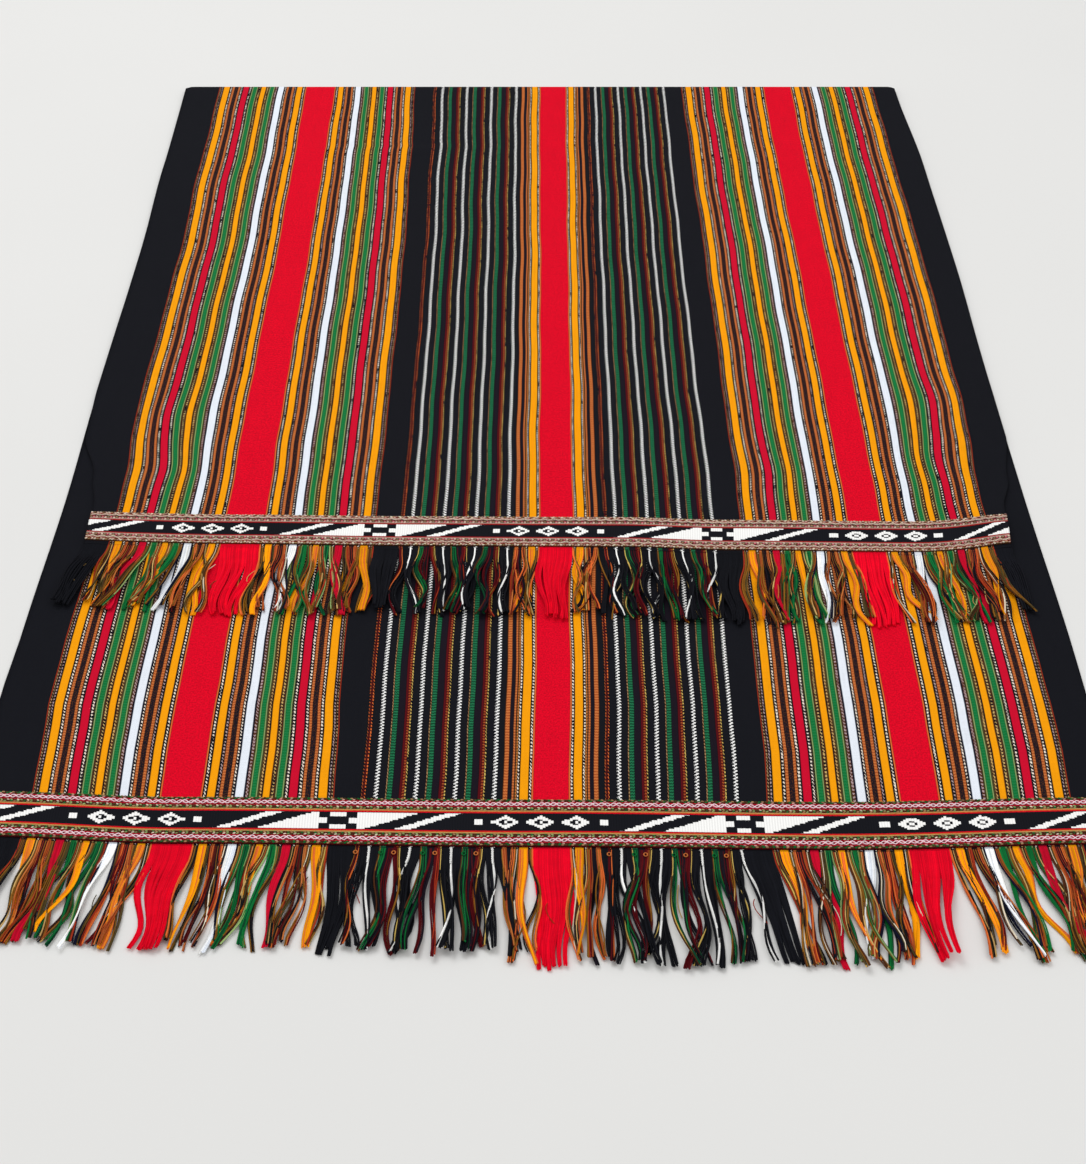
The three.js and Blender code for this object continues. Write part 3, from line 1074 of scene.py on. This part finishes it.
class TreeBuilder:
    """A geometry node tree with named inputs, the last of them the material."""

    def __init__(self, name: str, inputs: dict[str, float | int]) -> None:
        """Makes the tree and its inputs.

        Args:
            name: The tree's name.
            inputs: Each number's default by its name; a whole default makes a whole number.
        """
        self.tree = bpy.data.node_groups.new(name, "GeometryNodeTree")
        face = self.tree.interface
        face.new_socket("Geometry", in_out="INPUT", socket_type="NodeSocketGeometry")
        self.keys: dict[str, str] = {}
        for label, value in (inputs | {"Material": None}).items():
            kind = "Material" if value is None else type(value).__name__.title()
            socket = face.new_socket(label, in_out="INPUT", socket_type="NodeSocket" + kind)
            if value is not None:
                socket.default_value = value
            self.keys[label] = socket.identifier
        face.new_socket("Geometry", in_out="OUTPUT", socket_type="NodeSocketGeometry")
        self.source = self.tree.nodes.new("NodeGroupInput")
        self.sink = self.tree.nodes.new("NodeGroupOutput")

    def add(self, kind: str, settings: dict | None = None, inputs: dict | None = None) -> bpy.types.Node:
        """Adds a node and returns it."""
        return add_node(self.tree, kind, settings, inputs)

    def end(self, geometry: bpy.types.NodeSocket) -> None:
        """Realizes the instances, sets the material and closes the tree.

        Args:
            geometry: The output that ends the tree.
        """
        real = self.add("GeometryNodeRealizeInstances", None, {"Geometry": geometry})
        worn = self.add("GeometryNodeSetMaterial", None, {
            "Geometry": real.outputs[0], "Material": self.source.outputs["Material"],
        })
        self.tree.links.new(worn.outputs[0], self.sink.inputs[0])

    def apply(self, source: bpy.types.Object, name: str, values: dict[str, object]) -> bpy.types.Object:
        """Runs the tree on an object and keeps only the plain result.

        Args:
            source: The object with the points or paths; it is removed.
            name: The new piece's name.
            values: Input values by name.

        Returns:
            The new piece.
        """
        modifier = source.modifiers.new("nodes", "NODES")
        modifier.node_group = self.tree
        for label, value in values.items():
            modifier[self.keys[label]] = value
        graph = bpy.context.evaluated_depsgraph_get()
        mesh = bpy.data.meshes.new_from_object(source.evaluated_get(graph))
        mesh.name = name
        bpy.data.objects.remove(source)
        return put(name, mesh)


def stitch_tree() -> TreeBuilder:
    """Builds the tree that puts a rounded stitch on each point.

    Returns:
        The tree; points carry turn and tint.
    """
    tree = TreeBuilder("twined_stitches", dict.fromkeys(STITCH_SIZES, MM))
    grain = tree.add("GeometryNodeMeshUVSphere", None, {"Segments": 5, "Rings": 3, "Radius": 0.5})
    size = tree.add("ShaderNodeCombineXYZ", None, {
        axis: tree.source.outputs[label] for axis, label in zip("XYZ", STITCH_SIZES)
    })
    shaped = tree.add("GeometryNodeTransform", None, {"Geometry": grain.outputs[0], "Scale": size.outputs[0]})
    turn = tree.add("GeometryNodeInputNamedAttribute", {"data_type": "FLOAT_VECTOR"}, {"Name": "turn"})
    place = tree.add("GeometryNodeInstanceOnPoints", None, {
        "Points": tree.source.outputs["Geometry"],
        "Instance": shaped.outputs[0],
        "Rotation": turn.outputs[0],
    })
    tree.end(place.outputs[0])
    return tree


def yarn_tree() -> TreeBuilder:
    """Builds the tree that gives each path a round yarn.

    Returns:
        The tree; points carry tint and thick, a share of the radius.
    """
    tree = TreeBuilder("loose_yarns", {"Yarn Radius": MM, "Sides": 4})
    path = tree.add("GeometryNodeMeshToCurve", None, {"Mesh": tree.source.outputs["Geometry"]})
    ring = tree.add("GeometryNodeCurvePrimitiveCircle", None, {
        "Resolution": tree.source.outputs["Sides"],
        "Radius": tree.source.outputs["Yarn Radius"],
    })
    thick = tree.add("GeometryNodeInputNamedAttribute", {"data_type": "FLOAT"}, {"Name": "thick"})
    tube = tree.add("GeometryNodeCurveToMesh", None, {
        "Curve": path.outputs[0],
        "Profile Curve": ring.outputs[0],
        "Fill Caps": True,
    })
    tree.tree.links.new(thick.outputs[0], tube.inputs["Scale"])
    tree.end(tube.outputs[0])
    return tree


def yarn_source(name: str, paths: Array, tints: Array, thick: Array) -> bpy.types.Object:
    """Makes the object whose paths the yarn tree turns into yarns.

    Args:
        name: The object's name.
        paths: A path of points for each yarn, in mm.
        tints: A colour for each yarn.
        thick: A share of the radius for each yarn.

    Returns:
        The object.
    """
    count, steps = paths.shape[:2]
    start = np.arange(count)[:, None] * steps + np.arange(steps - 1)
    edges = np.stack([start, start + 1], -1).reshape(-1, 2)
    mesh = bpy.data.meshes.new(name)
    mesh.from_pydata((paths.reshape(-1, 3) * MM).tolist(), edges.tolist(), [])
    set_values(mesh, "tint", "FLOAT_COLOR", "POINT", np.repeat(opaque(tints), steps, 0))
    set_values(mesh, "thick", "FLOAT", "POINT", np.repeat(thick, steps))
    return put(name, mesh)


@dataclass
class EndBand:
    """A patterned band across one end of the cloth, with its twined edgings."""

    name: str
    fold: Fold
    flap: bool
    edging: Edging
    crosses: tuple[float, float]
    high: float
    edge: float
    columns: int = 430
    clear: float = 0.3
    body: float = 1.1
    overlap: float = 0.4
    bevel: float = 0.6
    rib: float = 0.1
    stitch: tuple[float, float, float] = (2.8, 1.5, 1.0)
    stitch_tone: tuple[float, float] = (0.7, 1.2)
    cord: float = 0.5

    def _from_edge(self, at: Array | float, lower: bool) -> Array | float:
        """Returns how far up the band a place in its lower or upper edging lies, in mm."""
        up = at * self.edge / self.edging.wide
        return up if lower else self.high - up

    def place(self, share: Array, up: Array) -> tuple[Array, Array, Array]:
        """Finds points of the cloth under the band.

        Args:
            share: Places along the band, from 0 (left) to 1 (right).
            up: Distance up from the band's lower edge, in mm.

        Returns:
            The x, y and z of the cloth's upper face for each up and share, in mm.
        """
        line = self.fold.end_y(self.flap) + self.fold.band_show + np.atleast_1d(up)
        ends = self.fold.across(np.array([0.0, float(len(SECTIONS))]), line, self.flap)
        x = ends[:, :1] * (1 - share) + ends[:, 1:] * share
        y = self.fold.bend(x, line, self.flap)
        z = self.fold.flap_top(x, y) if self.flap else np.full(x.shape, self.fold.thick)
        return x, y, z + self.clear

    def line(self, share: Array, up: float) -> tuple[Array, Array, Array]:
        """Returns the x, y and z of one line along the band, in mm."""
        return tuple(part[0] for part in self.place(share, np.array([up])))

    @property
    def width(self) -> float:
        """Returns the band's width at its lower edge, in mm."""
        return 2 * abs(self.line(np.array([0.0]), 0.0)[0][0])

    def build_strip(self, material: bpy.types.Material) -> bpy.types.Object:
        """Builds the band's body with its ribbed middle strip.

        Args:
            material: Its finish.

        Returns:
            The strip's object.
        """
        high = self.high
        bevel, inner = self.bevel, self.edge - self.overlap
        up = np.concatenate([[0.0, bevel], np.linspace(inner, high - inner, 9), [high - bevel, high]])
        share = np.linspace(0, 1, self.columns + 1)
        x, y, z = self.place(share, up)
        tall = self.body * np.interp(up, [0, bevel, high - bevel, high], [0.5, 1, 1, 0.5])
        rib = self.rib * (np.arange(self.columns + 1) % 2)
        top = np.stack([x, y, z + tall[:, None] + rib], -1)
        base = np.stack([x, y, z], -1)
        faces, facts = shell_faces(len(up), self.columns + 1)
        points = np.concatenate([base.reshape(-1, 3), top.reshape(-1, 3)]) * MM
        piece = mesh_object(self.name, points, faces, material)
        left, right = self.crosses
        along = (x.mean(0) - left) / (right - left) * BandMotif.repeat
        weave = np.stack([along[facts["column"]], up[facts["row"]] - high / 2], -1) * MM
        set_map(piece.data, "Weave", weave)
        strip = np.abs(up[facts["row"]].mean(1) - high / 2) < high / 2 - inner
        yarns = np.where(strip[:, None], Yarn.BLACK.value, self.edging.ground.value)
        set_values(piece.data, "yarn", "FLOAT_COLOR", "CORNER", np.repeat(opaque(yarns), 4, 0))
        return piece

    def build_stitches(self, tree: TreeBuilder, material: bpy.types.Material) -> bpy.types.Object:
        """Builds the short stitches of both edgings.

        Args:
            tree: The stitch tree.
            material: The stitches' finish.

        Returns:
            The stitches' object.
        """
        rng = np.random.default_rng(SEED + self.flap)
        width = self.width
        spots, turns, tints = [], [], []
        for lower in (False, True):
            for row in self.edging.rows:
                count = int(width / row.pitch)
                share = (np.arange(count) + 0.5) / count
                x, y, z = self.line(share, self._from_edge(row.at, lower))
                spots.append(np.stack([x, y, z + self.body + rng.normal(0, 0.06, count)], -1))
                lean = math.radians(row.turn) * (1 if lower else -1) + rng.normal(0, 0.08, count)
                slope = np.arctan(np.gradient(y, x))
                turns.append(np.stack([np.zeros(count), -np.arctan(np.gradient(z, x)), lean + slope], -1))
                order = np.arange(count) % len(row.yarns)
                tone = rng.uniform(*self.stitch_tone, (count, 1))
                tints.append(np.array([yarn.value for yarn in row.yarns])[order] * tone)
        mesh = bpy.data.meshes.new(self.name + "_points")
        mesh.from_pydata((np.concatenate(spots) * MM).tolist(), [], [])
        set_values(mesh, "turn", "FLOAT_VECTOR", "POINT", np.concatenate(turns))
        set_values(mesh, "tint", "FLOAT_COLOR", "POINT", opaque(np.concatenate(tints)))
        source = put(self.name + "_points", mesh)
        values = {name: size * MM for name, size in zip(STITCH_SIZES, self.stitch)}
        return tree.apply(source, self.name + "_stitches", values | {"Material": material})

    def build_cords(self, tree: TreeBuilder, material: bpy.types.Material) -> bpy.types.Object:
        """Builds the long cords of both edgings, chained and straight.

        Args:
            tree: The yarn tree.
            material: The cords' finish.

        Returns:
            The cords' object.
        """
        rng = np.random.default_rng(SEED + 9 + self.flap)
        count = 6 * round(self.width / self.edging.wave)
        share = np.linspace(0.0006, 0.9994, count)
        drift = 0.9 * np.sin(share * 19 + rng.uniform(0, TURN)) * np.sin(share * 7)
        paths, tints, thick = [], [], []
        for lower in (False, True):
            for cord in self.edging.cords:
                x = self.line(share, cord.at)[0]
                wave = np.sin(x * TURN / self.edging.wave + cord.phase * (1 + drift * 0.25) + (0.8 * lower))
                up = self._from_edge(cord.at + cord.swing * wave + rng.normal(0, 0.05, count), lower)
                rows = self.place(share, up)
                points = [part[np.arange(count), np.arange(count)] for part in rows]
                high = cord.high + 0.25 * cord.swing * np.cos(x * TURN / self.edging.wave)
                points[2] = points[2] + np.maximum(high - 0.4, 0.8)
                paths.append(np.stack(points, -1))
                tints.append(cord.yarn.value)
                thick.append(cord.radius / self.cord)
        source = yarn_source(self.name + "_paths", np.array(paths), np.array(tints), np.array(thick))
        values = {"Yarn Radius": self.cord * MM, "Sides": 4, "Material": material}
        return tree.apply(source, self.name + "_cords", values)


@dataclass(frozen=True)
class LockRow:
    """A stretch of a fringe: where it ends, how long its locks are and how they lean, in mm."""

    up_to: float
    long: float
    lean: float


FRONT_LOCKS = tuple(LockRow(*row) for row in (
    (-390, 84, -8), (-330, 92, -9), (-285, 95, -14), (-245, 96, -4), (-195, 97, -12),
    (-165, 97, -1), (-110, 97, -2), (-70, 98, 0), (0, 103, 1), (110, 107, 4),
    (160, 106, 13), (200, 104, 6), (255, 101, 0), (300, 100, 13), (390, 98, 13),
))
FLAP_LOCKS = tuple(LockRow(*row) for row in (
    (-370, 80, -15), (-310, 86, -16), (-260, 89, -2), (-200, 89, -2), (-160, 88, 2), (-100, 88, -1),
    (0, 89, 0), (120, 93, 1), (230, 91, 1), (320, 92, 8), (380, 86, 8),
))


@dataclass(frozen=True)
class LockShape:
    """How one kind of lock is gathered; lengths in mm."""

    snug: tuple[float, float]
    gather_at: tuple[float, float]
    ply: int
    closing: float
    close_at: tuple[float, float]
    winding: float
    curl: tuple[float, float]
    sway: tuple[float, float]
    turn: float
    wander: float


class LockKind(Enum):
    """The kinds of lock in the fringes."""

    BROAD = LockShape(
        snug=(0.55, 0.85), gather_at=(0.3, 0.95), ply=9, closing=0.4, close_at=(0.6, 1.0),
        winding=0.45, curl=(0.5, 1.4), sway=(1.5, 3.5), turn=0.3, wander=2.0,
    )
    RIBBON = LockShape(
        snug=(0.85, 1.15), gather_at=(0.35, 0.95), ply=9, closing=0.2, close_at=(0.1, 0.5),
        winding=0.3, curl=(0.1, 1.0), sway=(2.0, 6.0), turn=0.8, wander=4.5,
    )
    MIXED = LockShape(
        snug=(1.35, 1.9), gather_at=(0.2, 0.9), ply=4, closing=0.2, close_at=(0.2, 0.6),
        winding=0.45, curl=(0.9, 2.6), sway=(2.0, 5.5), turn=0.45, wander=4.5,
    )
    CORDED = LockShape(
        snug=(1.15, 1.5), gather_at=(0.4, 0.9), ply=6, closing=0.28, close_at=(0.3, 0.8),
        winding=0.7, curl=(1.4, 3.4), sway=(2.0, 5.5), turn=0.5, wander=4.0,
    )


def read_mixes(words: str) -> dict[Yarn, tuple[Yarn, ...]]:
    """Reads what yarns are mixed with; in each part the yarn comes first and its mix after it."""
    parts = [[Yarn[word] for word in part.split()] for part in words.split(",")]
    return {yarn: tuple(mix) for yarn, *mix in parts}


# What a stripe's yarn is mixed with once its warp is loose
LOOSE_MIX = read_mixes(
    "RUST BRICK RUST MAROON OCHRE, COPPER RUST COPPER BRICK ORANGE, INK BLACK INK MAROON, "
    "LILAC BROWN SAND OLIVE, PEARL CREAM OLIVE SAND OCHRE, LEAF OLIVE GREEN LEAF, "
    "TAN OCHRE GOLD OLIVE, PINE PINE BLACK, EMERALD GREEN PINE, SCARLET RED, "
    "YELLOW YELLOW YELLOW YELLOW ORANGE, WHITE BLEACHED WHITE, JADE GREEN PINE"
)

# The same in the mixed locks, whose dark yarns are mixed too
MIXED_MIX = LOOSE_MIX | read_mixes(
    "BLACK BLACK BROWN OLIVE OCHRE, BROWN BROWN OCHRE RUST BRICK, OLIVE OLIVE GREEN OCHRE"
)


@dataclass
class Strands:
    """The warp yarns of a fringe in order: place across, colour, lock and kind of lock."""

    place: list[float] = field(default_factory=list)
    yarn: list[Yarn] = field(default_factory=list)
    lock: list[int] = field(default_factory=list)
    kind: list[LockKind] = field(default_factory=list)


@dataclass
class Fringe:
    """The loose warp ends below one end of the cloth; lengths in mm, uneven ones as shares."""

    name: str
    fold: Fold
    plan: StripePlan
    flap: bool
    locks: tuple[LockRow, ...]
    floor_z: float
    yarn_pitch: float = 0.53
    steps: int = 15
    radius: float = 0.59
    alone_from: float = 3.4
    broad_from: float = 12.0
    broad_wide: float = 30.0
    mixed_wide: float = 4.6
    corded_wide: float = 7.0
    plait_long: float = 15.0
    plait_wave: float = 4.4
    plait_wide: float = 0.55
    ring: float = 1.25
    ring_down: float = 5.2
    strays: int = 14
    lock_tone: tuple[float, float] = (0.92, 1.14)
    # Each yarn's brightness factor: partly its own random dye tone, partly painted highlights standing in for
    # glints on the yarns
    yarn_tone: tuple[float, float] = (0.78, 1.2)
    yarn_thick: tuple[float, float] = (0.85, 1.15)
    braid_thick: float = 1.25
    head_thick: float = 0.75
    stray_thick: float = 0.6
    packing: float = 0.42
    tuck: float = 2.2
    roof: float = 8.4
    uneven: tuple[float, float] = (0.92, 1.04)
    ply_uneven: float = 0.02
    yarn_uneven: float = 0.006
    settle_by: float = 0.12
    bow: float = 1.2
    onset: float = 0.6
    sway_beats: tuple[float, float] = (0.6, 1.3)
    curl_beats: tuple[float, float] = (0.5, 1.3)
    wind_beats: tuple[float, float] = (0.6, 1.6)
    layers: tuple[float, float, float] = (0.0, 0.8, 1.6)

    def strands(self) -> Strands:
        """Sorts the warp yarns into locks, from left to right.

        Returns:
            The strands; wide stripes make locks of their own, fine stripes make mixed locks.
        """
        found = Strands()
        lock, filled = 0, 0.0
        edges, columns = self.plan.design, self.plan.stripes
        first = 0
        while first < len(columns):
            stripe, last = columns[first], first
            while last + 1 < len(columns) and columns[last + 1] is stripe:
                last += 1
            wide = sum(self.plan.widths[first : last + 1])
            corded = stripe in CORDS
            alone = wide >= self.alone_from and stripe.weave is not Weave.SPECKLED and not corded
            kind = LockKind.CORDED if corded else LockKind.MIXED
            if alone:
                kind = LockKind.BROAD if wide >= self.broad_from else LockKind.RIBBON
            if alone and filled > 0:
                lock, filled = lock + 1, 0.0
            parts = max(1, round(wide / self.broad_wide))
            count = max(1, round(wide / self.yarn_pitch))
            for n in range(count):
                share = (n + 0.5) / count
                found.place.append(edges[first] + (edges[last + 1] - edges[first]) * share)
                second = stripe.weave is not Weave.PLAIN and n % 3 == 1
                if stripe.weave is Weave.RIBBED:
                    second = n % 3 != 1
                if stripe.weave is Weave.BRAID:
                    second = n in (count // 2 - 1, count // 2)
                found.yarn.append(stripe.fleck if second else stripe.yarn)
                found.lock.append(lock + int(share * parts) if alone else lock)
                found.kind.append(kind)
            filled += wide
            if alone:
                lock, filled = lock + parts, 0.0
            elif filled > (self.corded_wide if corded else self.mixed_wide):
                lock, filled = lock + 1, 0.0
            first = last + 1
        return found

    def build(self, tree: TreeBuilder, material: bpy.types.Material) -> bpy.types.Object:
        """Builds the fringe.

        Args:
            tree: The yarn tree.
            material: The yarns' finish.

        Returns:
            The fringe's object.
        """
        rng = np.random.default_rng(SEED * 3 + self.flap)
        found = self.strands()
        end = np.array([self.fold.end_y(self.flap)])
        x, y = (part[0] for part in self.fold.lay(np.array(found.place), end, self.flap))
        lift = ridge_sum(x, y, "high") if self.flap else np.zeros_like(x)
        numbers = np.array(found.lock)
        groups: list[tuple[Array, Array, Array]] = []
        for lock in range(numbers.max() + 1):
            mine = np.flatnonzero(numbers == lock)
            kind = found.kind[mine[0]]
            made = self._lock(rng, kind.value, x[mine], y[mine], lift[mine])
            yarns = [found.yarn[n] for n in mine]
            mixes = MIXED_MIX if kind is LockKind.MIXED else LOOSE_MIX
            dyed = [mixes.get(yarn, (yarn,)) for yarn in yarns]
            tints = np.array([mix[rng.integers(len(mix))].value for mix in dyed])
            # The per-yarn factor is partly random tone and partly painted highlights where yarns would glint
            shades = tints * rng.uniform(*self.lock_tone) * rng.uniform(*self.yarn_tone, (len(mine), 1))
            stout = np.array([self.braid_thick if yarn is Yarn.BLEACHED else 1.0 for yarn in yarns])
            groups.append((made, shades, rng.uniform(*self.yarn_thick, len(mine)) * stout))
            if kind is LockKind.CORDED and not self.flap:
                groups += [
                    (heads, np.repeat([tint.value], len(heads), 0), np.full(len(heads), self.head_thick))
                    for heads, tint in self._heads(yarns, made)
                ]
        strays = self._strays(rng, x, y)
        loose = np.array([yarn.value for yarn in (Yarn.CREAM, Yarn.SAND, Yarn.OLIVE, Yarn.BRICK)])
        shades = loose[rng.integers(0, len(loose), self.strays)]
        groups.append((strays, shades, np.full(self.strays, self.stray_thick)))
        source = yarn_source(self.name + "_paths", *(np.concatenate(part) for part in zip(*groups)))
        values = {"Yarn Radius": self.radius * MM, "Sides": 4, "Material": material}
        return tree.apply(source, self.name, values)

    def _row(self, column: str, middle: float) -> float:
        """Reads one column of the lock rows at a place across."""
        spots = [row.up_to for row in self.locks]
        return float(follow(spots, [getattr(row, column) for row in self.locks], np.array([middle]))[0])

    def _lock(self, rng: np.random.Generator, shape: LockShape, x: Array, y: Array, lift: Array) -> Array:
        """Lays the yarns of one lock.

        Args:
            rng: The random numbers.
            shape: How the lock is gathered.
            x: The yarns' places at the cloth's end, in mm.
            y: The end's line at each yarn, in mm.
            lift: How high the cloth's end stands there, in mm.

        Returns:
            Points of each yarn, in mm.
        """
        count = len(x)
        middle = x.mean()
        long = self._row("long", middle) * rng.uniform(*self.uneven)
        lean = self._row("lean", middle) + rng.normal(0, shape.wander)
        t = np.linspace(0, 1, self.steps)[None, :]
        order = np.linspace(-1, 1, count)[:, None] if count > 1 else np.zeros((1, 1))
        plies = max(1, round(count / shape.ply))
        ply = np.arange(count) * plies // count
        ragged = rng.normal(0, self.ply_uneven, (plies, 1))[ply] + rng.normal(0, self.yarn_uneven, (count, 1))
        lengths = long * (1 + ragged)
        wave = np.sin(TURN * (rng.uniform(*self.sway_beats) * t + rng.uniform(0, 1)))
        sway = rng.uniform(*shape.sway) * (wave - wave[:, :1]) * t**self.onset
        axis = middle + lean * t**self.bow + sway
        gather = smooth(*shape.gather_at, t)
        half = max((x.max() - x.min()) / 2, 0.3)
        snug = max(half * rng.uniform(*shape.snug), self.packing * math.sqrt(count))
        spread = half * (1 - gather) + snug * gather
        turn = rng.normal(0, shape.turn) * smooth(0.15, 1.0, t)
        beat = rng.uniform(*self.curl_beats, (plies, 1)) * t + rng.uniform(0, 1, (plies, 1))
        curl = rng.uniform(*shape.curl) * (np.sin(TURN * beat) - np.sin(TURN * beat[:, :1]))
        own = curl[ply] * t**self.onset
        turns, centre = np.zeros((count, 1)), np.zeros((count, 1))
        for n in range(plies):
            group = np.flatnonzero(ply == n)
            turns[group, 0] = np.arange(len(group)) / len(group)
            centre[group] = order[group].mean()
        around = TURN * (rng.uniform(*self.wind_beats) * t + turns)
        loose = order + (centre - order) * shape.closing * smooth(*shape.close_at, t)
        bundle = shape.winding * smooth(0.06, 0.3, t)
        px = axis + loose * spread * np.cos(turn) + own + bundle * np.cos(around)
        py = y[:, None] - lengths * t
        settle = smooth(0.0, self.settle_by, t)
        ground = self.floor_z + self.radius
        top = self.fold.top(self.flap)
        layer = rng.choice(self.layers) * smooth(self.settle_by, 0.4, t)
        pile = spread * (np.abs(np.sin(turn)) + loose * np.sin(turn)) * 0.5
        heap = layer + pile + bundle * (1 + np.sin(around)) + 0.5 * np.abs(own)
        pz = (top + lift[:, None] - 0.1) * (1 - settle) + (ground + heap) * settle
        py[:, 0] += self.tuck
        return np.stack([px, py, np.clip(pz, ground, self.roof)], -1)

    def _heads(self, yarns: list[Yarn], made: Array) -> list[tuple[Array, Yarn]]:
        """Lays the plaits and small rings at the head of one corded lock.

        Args:
            yarns: The lock's yarns.
            made: Their points, in mm.

        Returns:
            Points of each added yarn with its colour.
        """
        heads: list[tuple[Array, Yarn]] = []
        share = np.linspace(0, 1, self.steps)
        for n, yarn in enumerate(yarns):
            path = made[n]
            drop = path[0, 1] - path[:, 1]
            if yarn is Yarn.BLEACHED and not heads:
                line = [np.interp(share * self.plait_long, drop, path[:, k]) for k in range(3)]
                swing = np.sin(share * self.plait_long * TURN / self.plait_wave)
                fade = 1 - smooth(0.7, 1.0, share)
                pair = []
                for side in (-1, 1):
                    sideways = line[0] + side * self.plait_wide * swing * (0.4 + 0.6 * fade)
                    raised = line[2] + 1.0 + side * 0.4 * np.cos(swing * 3)
                    pair.append(np.stack([sideways, line[1], raised], -1))
                heads.append((np.array(pair), Yarn.BLEACHED))
            knot = {Yarn.MAROON: Yarn.COPPER, Yarn.PINE: Yarn.GREEN}.get(yarn)
            if knot is not None and all(tint is not knot for _, tint in heads):
                spot = [np.interp(self.ring_down, drop, path[:, k]) for k in range(3)]
                angle = share * TURN
                ring = [
                    spot[0] + self.ring * np.cos(angle),
                    spot[1] + 1.3 * self.ring * np.sin(angle),
                    np.full(self.steps, spot[2] + 1.3),
                ]
                heads.append((np.stack(ring, -1)[None], knot))
        return heads

    def _strays(self, rng: np.random.Generator, x: Array, y: Array) -> Array:
        """Lays thin stray yarns in loops over the locks.

        Args:
            rng: The random numbers.
            x: The warp yarns' places, in mm.
            y: The cloth's end at each of them, in mm.

        Returns:
            Points of each stray yarn, in mm.
        """
        picked = np.sort(rng.integers(8, len(x) - 8, self.strays))
        t = np.linspace(0, 1, self.steps)[None, :]
        count = (self.strays, 1)
        rows = [[self._row(name, place)] for name in ("lean", "long") for place in x[picked]]
        lean, long = np.array(rows).reshape(2, *count)
        start = rng.uniform(0.25, 0.6, count)
        down = start + rng.uniform(0.2, 0.5, count) * np.minimum(1.0, 1.25 - start) * t
        beat = rng.uniform(0.35, 0.8, count) * t + rng.uniform(0, 1, count)
        swing = rng.uniform(1.5, 4.0, count) * np.sin(TURN * beat)
        px = x[picked][:, None] + lean * down**self.bow + swing
        py = y[picked][:, None] - long * down
        ground = self.floor_z + self.radius
        pz = ground + rng.uniform(1.0, 2.6, count) + 0.6 * np.sin(TURN * t)
        return np.stack([px, py, pz], -1)


@dataclass
class Stage:
    """The pale floor, the soft lights and the camera."""

    lens: float = 70.0
    pitch: float = 35.6
    high: float = 1.038
    back: float = 1.7145
    aside: float = -0.001
    sensor: float = 36.0
    far: float = 50.0
    reach: float = 8.0
    pale: Colour = (0.80, 0.80, 0.79)
    sky: Colour = (1.0, 0.995, 0.985)
    sky_strength: float = 0.62

    def camera(self) -> None:
        """Makes the camera at the photograph's angle."""
        data = bpy.data.cameras.new("view")
        data.lens = self.lens
        data.sensor_width = self.sensor
        data.clip_end = self.far
        eye = bpy.data.objects.new("view", data)
        eye.location = (self.aside, -self.back, self.high)
        eye.rotation_euler = (math.radians(90 - self.pitch), 0, 0)
        bpy.context.scene.collection.objects.link(eye)
        bpy.context.scene.camera = eye

    def lights(self) -> None:
        """Makes the soft studio lights and the pale surroundings."""
        world = bpy.data.worlds.new("studio")
        world.use_nodes = True
        sky = world.node_tree.nodes["Background"]
        sky.inputs["Color"].default_value = (*self.sky, 1.0)
        sky.inputs["Strength"].default_value = self.sky_strength
        bpy.context.scene.world = world
        for name, place, size, power in (
            ("key", (-1.5, 1.6, 4.4), 3.2, 92.0),
            ("fill", (2.6, -1.8, 4.0), 3.6, 34.0),
        ):
            data = bpy.data.lights.new(name, "AREA")
            data.shape = "SQUARE"
            data.size = size
            data.energy = power
            lamp = bpy.data.objects.new(name, data)
            lamp.location = place
            aim = np.array([0.0, -0.1, 0.0]) - np.array(place)
            lamp.rotation_euler = (
                math.acos(-aim[2] / np.linalg.norm(aim)), 0.0, math.atan2(aim[1], aim[0]) - math.pi / 2,
            )
            bpy.context.scene.collection.objects.link(lamp)
        bpy.context.scene.view_settings.view_transform = "Standard"

    def floor(self) -> None:
        """Makes the pale floor."""
        points = self.reach * np.array([(-1, -1, 0), (1, -1, 0), (1, 1, 0), (-1, 1, 0)])
        net = Net("pale_floor", 0.75)
        place = net.node("ShaderNodeTexCoord", None, None, "Object")
        level = 0.985 + net.noise(place, 3.0, 1.0) * 0.03
        colour = net.shade(self.pale, level)
        floor = mesh_object("floor", points, np.array([[0, 1, 2, 3]]), net.finish(colour))


def report(piece: bpy.types.Object) -> None:
    """Logs a finished piece."""
    LOG.info("%s: %d points, %d faces", piece.name, len(piece.data.vertices), len(piece.data.polygons))


def main() -> None:
    """Builds the stage and the wrapper's pieces in order."""
    stage = Stage()
    stage.camera()
    stage.lights()
    stage.floor()
    fold = Fold()
    plan = StripePlan()
    loose = YarnFinish().material()
    twined = YarnFinish("twined_yarn").material()
    band_weave = BandWeave().material()
    stitches, yarns = stitch_tree(), yarn_tree()

    cloth = StripedCloth(fold, plan)
    sheet = cloth.build(StripedWeave().material())
    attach(sheet, BODY)
    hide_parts("striped_cloth")
    report(sheet)

    for band in (
        EndBand("front_band_look", fold, False, BRIGHT_EDGING, (-141.5, 136.5), 47.5, 15.2),
        EndBand("flap_band_look", fold, True, DULL_EDGING, (-133.2, 139.6), 41.0, 12.0),
    ):
        strip = band.build_strip(band_weave)
        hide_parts(band.name.removesuffix("_look"))
        for piece in (strip, band.build_stitches(stitches, twined), band.build_cords(yarns, twined)):
            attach(piece, BODY)
            report(piece)
    for fringe in (
        Fringe("front_fringe_look", fold, plan, False, FRONT_LOCKS, 0.0),
        Fringe("flap_fringe_look", fold, plan, True, FLAP_LOCKS, fold.thick + 0.2),
    ):
        piece = fringe.build(yarns, loose)
        node = fringe.name.removesuffix("_look")
        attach(piece, BODY)
        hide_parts(node)
        report(piece)


if __name__ == "__main__":
    main()
